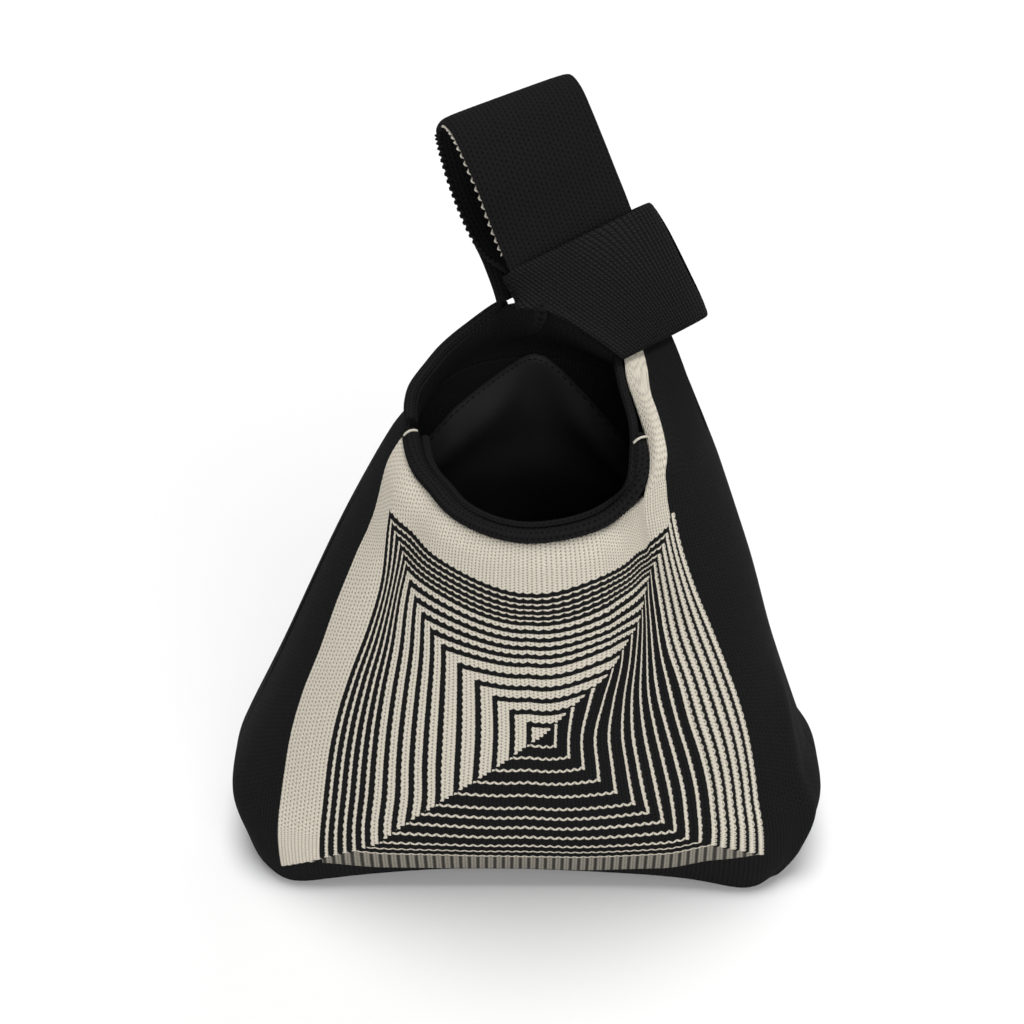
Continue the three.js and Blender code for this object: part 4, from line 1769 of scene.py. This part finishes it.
@dataclass
class Mouth:
    """The trims of the mouth: the front border, rolled edges and thread tacks."""

    rim_span: tuple[float, float] = (-177.0, -58.0)
    border_radius: float = 2.6
    roll_radius: float = 1.8
    gap: float = 0.3
    border_end: float = 0.4
    border_teeth: int = 118
    roll_reach: tuple[tuple[float, float], ...] = (
        (0, 5.4),
        (0.2, 5.2),
        (0.3, 4.6),
        (0.38, 3.2),
        (0.44, 2.1),
        (0.5, 1.9),
        (1, 1.9),
    )
    left_end: float = 0.78
    right_start: float = 0.73
    body_top: float = 207.9
    tack_radius: float = 0.45
    tack_swing: float = 65.0

    def rim_point(self, angle: float, lift: float, depth: float) -> Vector:
        """Return a point near the front rim.

        Args:
            angle: Degrees from the right towards the back.
            lift: Millimetres above the rim.
            depth: Millimetres inward.

        Returns:
            The point in millimetres.
        """
        height = FORM.rim_height(angle)
        point = FORM.point(angle, min(height, self.body_top), FORM.turn_in(angle, 0) + depth)
        return point + Vector((0, 0, lift + max(0.0, height - self.body_top)))

    def rim_path(
        self, body: Body, lift: float, depth: float, end: float, reach: Callable[[float], float], sink: float
    ) -> Curve:
        """Return a path along the front rim and on up the neck side of the long handle's front leg.

        Args:
            body: The body that the rim belongs to.
            lift: Millimetres above the rim.
            depth: Millimetres inward from its outer face.
            end: The share of the leg that the path climbs.
            reach: Millimetres from the leg's edge towards the mouth, for a share of the leg.
            sink: Millimetres behind the leg's face.

        Returns:
            The path as a curve.
        """
        points = [self.rim_point(mix(*self.rim_span, i / 50), lift, depth) for i in range(51)]
        steps = round(end / 0.04)
        for i in range(1, steps + 1):
            v = end * i / steps
            points.append(body.front_leg_point(0.0, v) - HANDLE.across * reach(v) - HANDLE.face * sink)
        return Curve(tuple(points)).calmed(8)

    def border_path(self, body: Body) -> Curve:
        """Return the middle line of the border, which ends on the long handle's front leg."""
        lift = self.gap + self.border_radius * 0.6
        return self.rim_path(body, lift, FORM.knit / 2, self.border_end, lambda v: lift, 0.6)

    def build_border(self, wardrobe: Wardrobe, body: Body) -> bpy.types.Object:
        """Make the black knit border on the front rim.

        Args:
            wardrobe: The finishes.
            body: The body that it is knit on or sewn to.

        Returns:
            The piece's object.
        """
        path = self.border_path(body)

        def radius(along: float, around: float) -> float:
            """Return the border's radius, with its ridge and small teeth.

            Args:
                along: The share along.
                around: The share round.

            Returns:
                Millimetres.
            """
            ridge = 1 + 0.12 * math.cos(2 * math.pi * around * 2)
            slim = 1 - 0.35 * ease(0.93, 1.0, along)
            teeth = 0.045 * math.sin(2 * math.pi * along * self.border_teeth)
            return tapered(self.border_radius, 0.012)(along, around) * (ridge + teeth) * slim * 1.06

        cloth = strand(path.at, radius, 24, self.border_teeth * 4, Vector((0, 0.35, 1)))
        piece = new_piece("front_border_knit", cloth, wardrobe.black_knit)
        body.draw_up(piece)
        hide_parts("front_neck_border")
        return piece

    def roll_path(self, body: Body, end: float) -> Curve:
        """Return the middle line of the roll inside the border, up to a share of the leg."""
        depth = FORM.knit / 2 + self.border_radius * 1.18 + self.roll_radius + 0.9
        return self.rim_path(body, self.gap + 1.2, depth, end, lambda v: through(self.roll_reach, v)[0], 1.6)

    def build_front_roll(self, wardrobe: Wardrobe, body: Body) -> bpy.types.Object:
        """Make the rolled edge inside the front border.

        Args:
            wardrobe: The finishes.
            body: The body that it is knit on or sewn to.

        Returns:
            The piece's object.
        """
        cloth = strand(self.roll_path(body, 0.4).at, tapered(self.roll_radius, 0.012), 18, 220, Vector((0, 0.35, 1)))
        piece = new_piece("front_roll_knit", cloth, wardrobe.black_knit)
        body.draw_up(piece)
        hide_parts("front_neck_roll")
        return piece

    def build_left_roll(self, wardrobe: Wardrobe, handle: ShortHandle) -> bpy.types.Object:
        """Make the rolled edge on the wall of the mouth, on the left and back.

        Args:
            wardrobe: The finishes.
            handle: The short handle, whose wall it edges.

        Returns:
            The piece's object.
        """
        rim = handle.rim

        def path(share: float) -> Vector:
            """Return a point of the roll's middle line."""
            return rim.at(share * self.left_end) + Vector((0, 0, 0.5))

        cloth = strand(path, tapered(self.roll_radius + 0.3, 0.015), 18, 180, Vector((0, -0.4, 1)))
        piece = new_piece("left_roll_knit", cloth, wardrobe.black_knit)
        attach(piece, "bag")
        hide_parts("left_neck_roll")
        return piece

    def build_right_roll(self, wardrobe: Wardrobe, body: Body) -> bpy.types.Object:
        """Make the rolled edge on the mouth's side of the long handle's front leg.

        Args:
            wardrobe: The finishes.
            body: The body that it is knit on or sewn to.

        Returns:
            The piece's object.
        """
        whole = self.roll_path(body, 0.96)

        def path(share: float) -> Vector:
            """Return a point of the roll's middle line."""
            return whole.at(mix(self.right_start, 1.0, share))

        cloth = strand(path, tapered(self.roll_radius - 0.1, 0.05), 18, 90, Vector((1, 0, 0)))
        piece = new_piece("right_roll_knit", cloth, wardrobe.black_knit)
        body.draw_up(piece)
        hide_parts("right_neck_roll")
        return piece

    def build_tack(self, wardrobe: Wardrobe, body: Body, node: str, where: float) -> bpy.types.Object:
        """Make one thread tack over the border.

        Args:
            wardrobe: The finishes.
            body: The body that the border belongs to.
            node: The CAD node that it stands for.
            where: The share of the way along the border.

        Returns:
            The tack's object.
        """
        line = self.border_path(body)
        middle, ahead = line.at(where), line.along(where)
        outward = (Vector((0, -0.6, 0.8)) - ahead * ahead.dot(Vector((0, -0.6, 0.8)))).normalized()
        aside = ahead.cross(outward)
        reach = self.border_radius + 0.2

        def path(share: float) -> Vector:
            """Return a point of the thread, which goes over the border.

            Args:
                share: 0 at the start and 1 at the end.

            Returns:
                The point in millimetres.
            """
            swing = math.radians(mix(-self.tack_swing, self.tack_swing, share))
            away = outward * (reach * math.cos(swing)) + aside * (reach * math.sin(swing))
            return middle + away + ahead * mix(-1, 1, share)

        thread = strand(path, tapered(self.tack_radius, 0.1), 10, 24, ahead, 0.8)
        piece = new_piece(node + "_thread", thread, wardrobe.cream_thread)
        body.draw_up(piece)
        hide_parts(node)
        return piece


@dataclass
class LongHandle:
    """The long handle above the ring: its layers in the ring, the grip loop and its edge stitches."""

    half_width: float = 25.0
    half_thickness: float = 1.7
    stitch_pitch: float = 2.6
    top_height: float = 51.0
    far_shift: tuple[tuple[float, float], ...] = (
        (-12, 0),
        (-4, -0.5),
        (3, -3),
        (9, -4),
        (30, -2.7),
        (51, -1.4),
    )
    corner_line: tuple[tuple[float, float, float], ...] = (
        (12, -14.5, -25.2),
        (6, -12.2, -25.6),
        (0, -11.3, -26.3),
        (-6, -11, -27.2),
        (-11.5, -10.8, -28.4),
    )
    cream_span: tuple[float, float] = (0.125, 0.485)
    black_span: tuple[float, float] = (0.53, 0.88)
    second_strand: float = 0.34
    swing_out: float = 0.85
    profile: tuple[tuple[float, float], ...] = (
        (-12, 2.2),
        (-4, 2.6),
        (4, 4.0),
        (14, 6.0),
        (25, 9.0),
        (36, 10.5),
        (45, 10.5),
        (50.2, 6.0),
        (51.0, -1.5),
        (48.0, -10.0),
        (40.0, -17.5),
        (29.0, -22.0),
        (18.0, -19.5),
        (8.0, -12.0),
        (1.0, -5.0),
        (-4.0, -2.5),
        (-12.0, -2.2),
    )

    def loop_curve(self) -> Curve:
        """Return the grip loop's side profile as a curve in space, front strap first."""
        return Curve(tuple(HANDLE.pivot + HANDLE.grip_up * along + HANDLE.face * out for along, out in self.profile))

    def drape(self, point: Vector) -> Vector:
        """Return where a point of the plain loop lies once the loop leans and its far side slips left.

        Args:
            point: A point of the plain loop, in millimetres.

        Returns:
            The same point on the draped loop.
        """
        away = point - HANDLE.pivot
        along, across, out = (away.dot(axis) for axis in (HANDLE.grip_up, HANDLE.across, HANDLE.face))
        shift = (1 - ease(-8, 2, out)) * through(self.far_shift, along)[0]
        rise = along * (self.top_height + 1.1 - 0.076 * across) / self.top_height if along > 0 else along
        lean = 0.09 * across * ease(5, 30, along)
        wide = across * (0.96 if across > 0 else 1.0) + shift
        return HANDLE.pivot + HANDLE.grip_up * rise + HANDLE.across * wide + HANDLE.face * (out - lean)

    def bend_in_two(self, piece: bpy.types.Object) -> None:
        """Bake a piece's placement into its mesh; the points below and above the line that the grip tilts on are
        worked out but not used.

        Args:
            piece: A piece of the grip loop.
        """
        low = HANDLE.pivot - HANDLE.grip_up * 3
        high = HANDLE.pivot + HANDLE.grip_up * 9
        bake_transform(piece)

    def build_throat(self, wardrobe: Wardrobe) -> bpy.types.Object:
        """Make the long handle's layers inside the ring.

        Args:
            wardrobe: The finishes.

        Returns:
            The piece's object.
        """
        start = HANDLE.point(HANDLE.foot(0) + 1.5, 0, 0)
        end = HANDLE.pivot + HANDLE.up * 2.4

        def spine(share: float) -> tuple[Vector, Vector, Vector]:
            """Return the throat's straight middle line and directions."""
            return start.lerp(end, share), HANDLE.across, HANDLE.face

        width = self.half_width - 0.6
        cloth = band(spine, lambda v: width, 3.4, 40, 24, lambda x, v: (x / STITCH_WIDTH, v * 28), False)
        low, high = start.dot(HANDLE.up), end.dot(HANDLE.up)
        for vertex in cloth.verts:
            across = (vertex.co / MM - HANDLE.centre).dot(HANDLE.across)
            share = (vertex.co.dot(HANDLE.up) / MM - low) / (high - low)
            vertex.co += HANDLE.up * ((HANDLE.foot(across) - HANDLE.foot(0)) * (1 - share) * MM)
        piece = new_piece("throat_knit", cloth, wardrobe.black_knit)
        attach(piece, "throat")
        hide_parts("handle_throat")
        return piece

    def build_loop(self, wardrobe: Wardrobe) -> bpy.types.Object:
        """Make the grip loop as one strap, folded over at the top.

        Args:
            wardrobe: The finishes.

        Returns:
            The piece's object.
        """
        curve = self.loop_curve()

        def spine(share: float) -> tuple[Vector, Vector, Vector]:
            """Return the loop's middle line and directions."""
            tangent = curve.along(share)
            return curve.at(share), HANDLE.across, tangent.cross(HANDLE.across).normalized()

        def stitches(x: float, v: float) -> tuple[float, float]:
            """Return the strap's map."""
            return x / STITCH_WIDTH, v * 92

        cloth = band(spine, lambda v: self.half_width, self.half_thickness, 48, 200, stitches, False)
        for vertex in cloth.verts:
            vertex.co = self.drape(vertex.co / MM) * MM
        piece = new_piece("grip_loop_knit", cloth, wardrobe.black_knit)
        self.bend_in_two(piece)
        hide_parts("grip_front_strap", "grip_back_strap")
        return piece

    def build_corner(self, wardrobe: Wardrobe) -> bpy.types.Object:
        """Make the far strap's left corner, which hangs outside the ring's back.

        Args:
            wardrobe: The finishes.

        Returns:
            The piece's object.
        """
        line = Curve(
            tuple(
                HANDLE.pivot + HANDLE.grip_up * up + HANDLE.face * out + HANDLE.across * aside
                for up, out, aside in self.corner_line
            )
        )

        def spine(share: float) -> tuple[Vector, Vector, Vector]:
            """Return the corner's middle line and directions."""
            return line.at(share), HANDLE.across, line.along(share).cross(HANDLE.across).normalized()

        def half_width(share: float) -> float:
            """Return half of the corner's width, which narrows towards its end."""
            return mix(4.2, 3.1, share**1.5)

        thin = self.half_thickness * 0.8
        cloth = band(spine, half_width, thin, 24, 30, lambda x, v: (x / STITCH_WIDTH, v * 15), False)
        piece = new_piece("grip_corner_knit", cloth, wardrobe.black_knit)
        self.bend_in_two(piece)
        return piece

    def build_edge_stitch(self, wardrobe: Wardrobe, side: Side) -> bpy.types.Object:
        """Make the whip stitch round the loop's left edge.

        Args:
            wardrobe: The finishes.
            side: FRONT for the cream stitch of the front strap, BACK for the black one behind.

        Returns:
            The stitch's object.
        """
        front = side is Side.FRONT
        curve = self.loop_curve()
        first, last = self.cream_span if front else self.black_span
        radius = tapered(0.36 if front else 0.5, 0.01)
        reach = length_of(curve.at, first, last)

        def thread(start: float, phase: float) -> bmesh.types.BMesh:
            """Make one strand of the stitch.

            Args:
                start: Where on the loop it starts.
                phase: Where in its zigzag it starts.

            Returns:
                The strand's bmesh.
            """
            turns = reach * (last - start) / (last - first) / self.stitch_pitch

            def path(share: float) -> Vector:
                """Return a point of the zigzag thread.

                Args:
                    share: 0 at the start and 1 at the end.

                Returns:
                    The point in millimetres.
                """
                where = mix(start, last, share)
                face = curve.along(where).cross(HANDLE.across).normalized()
                zigzag = 4 * abs((turns * share + phase) % 1 - 0.5) - 1
                aside = HANDLE.across * (self.half_width - 0.1 + self.swing_out * zigzag)
                return self.drape(curve.at(where) - aside + face * mix(1.6, 0.7, (zigzag + 1) / 2))

            return strand(path, radius, 8, int(turns * 12), HANDLE.across + HANDLE.face, 0.8)

        cloth = thread(first, 0.0)
        if front:
            add_cloth(cloth, thread(self.second_strand, 0.5))
        name = "grip_stitch_cream" if front else "grip_stitch_black"
        piece = new_piece(name, cloth, wardrobe.cream_thread if front else wardrobe.black_thread)
        self.bend_in_two(piece)
        if front:
            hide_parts("grip_edge_stitch")
        return piece


@dataclass
class Studio:
    """A pale floor, soft light and the camera."""

    camera_place: tuple[float, float, float] = (-0.006, -0.502, 0.589)
    elevation: float = 40.0
    lens: float = 62.0
    sensor: float = 36.0
    floor_reach: float = 6.0
    floor_tone: float = 0.82
    floor_glow: float = 0.06
    world_light: float = 0.22
    suns: tuple[tuple[str, tuple[float, float, float], float, float], ...] = (
        ("top_sun", (0.0, 0.087, 1.0), 2.3, 30.0),
        ("front_sun", (0.4, -1.0, 0.5), 1.4, 60.0),
        ("back_sun", (0.6, 0.9, 0.45), 0.6, 60.0),
    )

    def build_camera(self) -> None:
        """Place the camera in front of and above the bag."""
        data = bpy.data.cameras.new("camera")
        data.lens = self.lens
        data.sensor_width = self.sensor
        camera = bpy.data.objects.new("camera", data)
        camera.location = self.camera_place
        camera.rotation_euler = (math.radians(90 - self.elevation), 0, 0)
        bpy.context.scene.collection.objects.link(camera)
        bpy.context.scene.camera = camera

    def build_floor(self) -> None:
        """Lay the pale floor, which shows white away from the bag's shadow."""
        sheet_mesh = bmesh.new()
        bmesh.ops.create_grid(sheet_mesh, x_segments=1, y_segments=1, size=self.floor_reach)
        material, sheet, shader = new_material("pale_floor", 0.9, 0.0)
        shader.inputs["Base Color"].default_value = (self.floor_tone, self.floor_tone, self.floor_tone, 1)
        ray = sheet.node("ShaderNodeLightPath")
        glow = sheet.math("MULTIPLY", ray.outputs["Is Camera Ray"], self.floor_glow)
        sheet.feed(shader.inputs["Emission Strength"], glow)
        shader.inputs["Emission Color"].default_value = (1, 1, 1, 1)
        floor = new_piece("floor", sheet_mesh, material)

    def build_light(self) -> None:
        """Set the pale surroundings and the wide soft suns."""
        world = bpy.data.worlds.new("studio")
        bpy.context.scene.world = world
        world.use_nodes = True
        sheet = ShaderSheet(world.node_tree)
        back = world.node_tree.nodes["Background"]
        back.inputs["Color"].default_value = (1, 1, 1, 1)
        ray = sheet.node("ShaderNodeLightPath")
        seen = ray.outputs["Is Camera Ray"]
        strength = sheet.math("MULTIPLY_ADD", seen, 1 - self.world_light, self.world_light)
        sheet.feed(back.inputs["Strength"], strength)
        for name, aim, power_of_sun, spread in self.suns:
            data = bpy.data.lights.new(name, "SUN")
            data.energy = power_of_sun
            data.angle = math.radians(spread)
            lamp = bpy.data.objects.new(name, data)
            lamp.rotation_euler = Vector(aim).to_track_quat("Z", "Y").to_euler()
            bpy.context.scene.collection.objects.link(lamp)

    def build(self) -> None:
        """Set up the camera, floor, light and the plain view."""
        self.build_camera()
        self.build_floor()
        self.build_light()
        bpy.context.scene.view_settings.view_transform = "Standard"


def main() -> None:
    """Build the bag piece by piece, then the studio."""
    logging.basicConfig(level=logging.INFO, format="%(message)s")
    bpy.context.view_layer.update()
    wardrobe = Wardrobe()
    body, lining, mouth = Body(), Lining(), Mouth()
    short_handle, long_handle = ShortHandle(), LongHandle()
    pieces = [
        body.build_front(wardrobe),
        body.build_back(wardrobe),
        body.build_base(wardrobe),
        lining.build_wall(wardrobe, Side.FRONT),
        lining.build_wall(wardrobe, Side.BACK),
        lining.build_floor(wardrobe),
        lining.build_seam(wardrobe),
        mouth.build_border(wardrobe, body),
        mouth.build_front_roll(wardrobe, body),
        mouth.build_left_roll(wardrobe, short_handle),
        mouth.build_right_roll(wardrobe, body),
        mouth.build_tack(wardrobe, body, "left_tack", 0.03),
        mouth.build_tack(wardrobe, body, "right_tack", 0.975),
        short_handle.build_wall(wardrobe, body),
        short_handle.build_ring(wardrobe),
        long_handle.build_throat(wardrobe),
        long_handle.build_loop(wardrobe),
        long_handle.build_corner(wardrobe),
        long_handle.build_edge_stitch(wardrobe, Side.FRONT),
        long_handle.build_edge_stitch(wardrobe, Side.BACK),
    ]
    for piece in pieces:
        log.info("%s: %d faces", piece.name, len(piece.data.polygons))
    Studio().build()


if __name__ == "__main__":
    main()
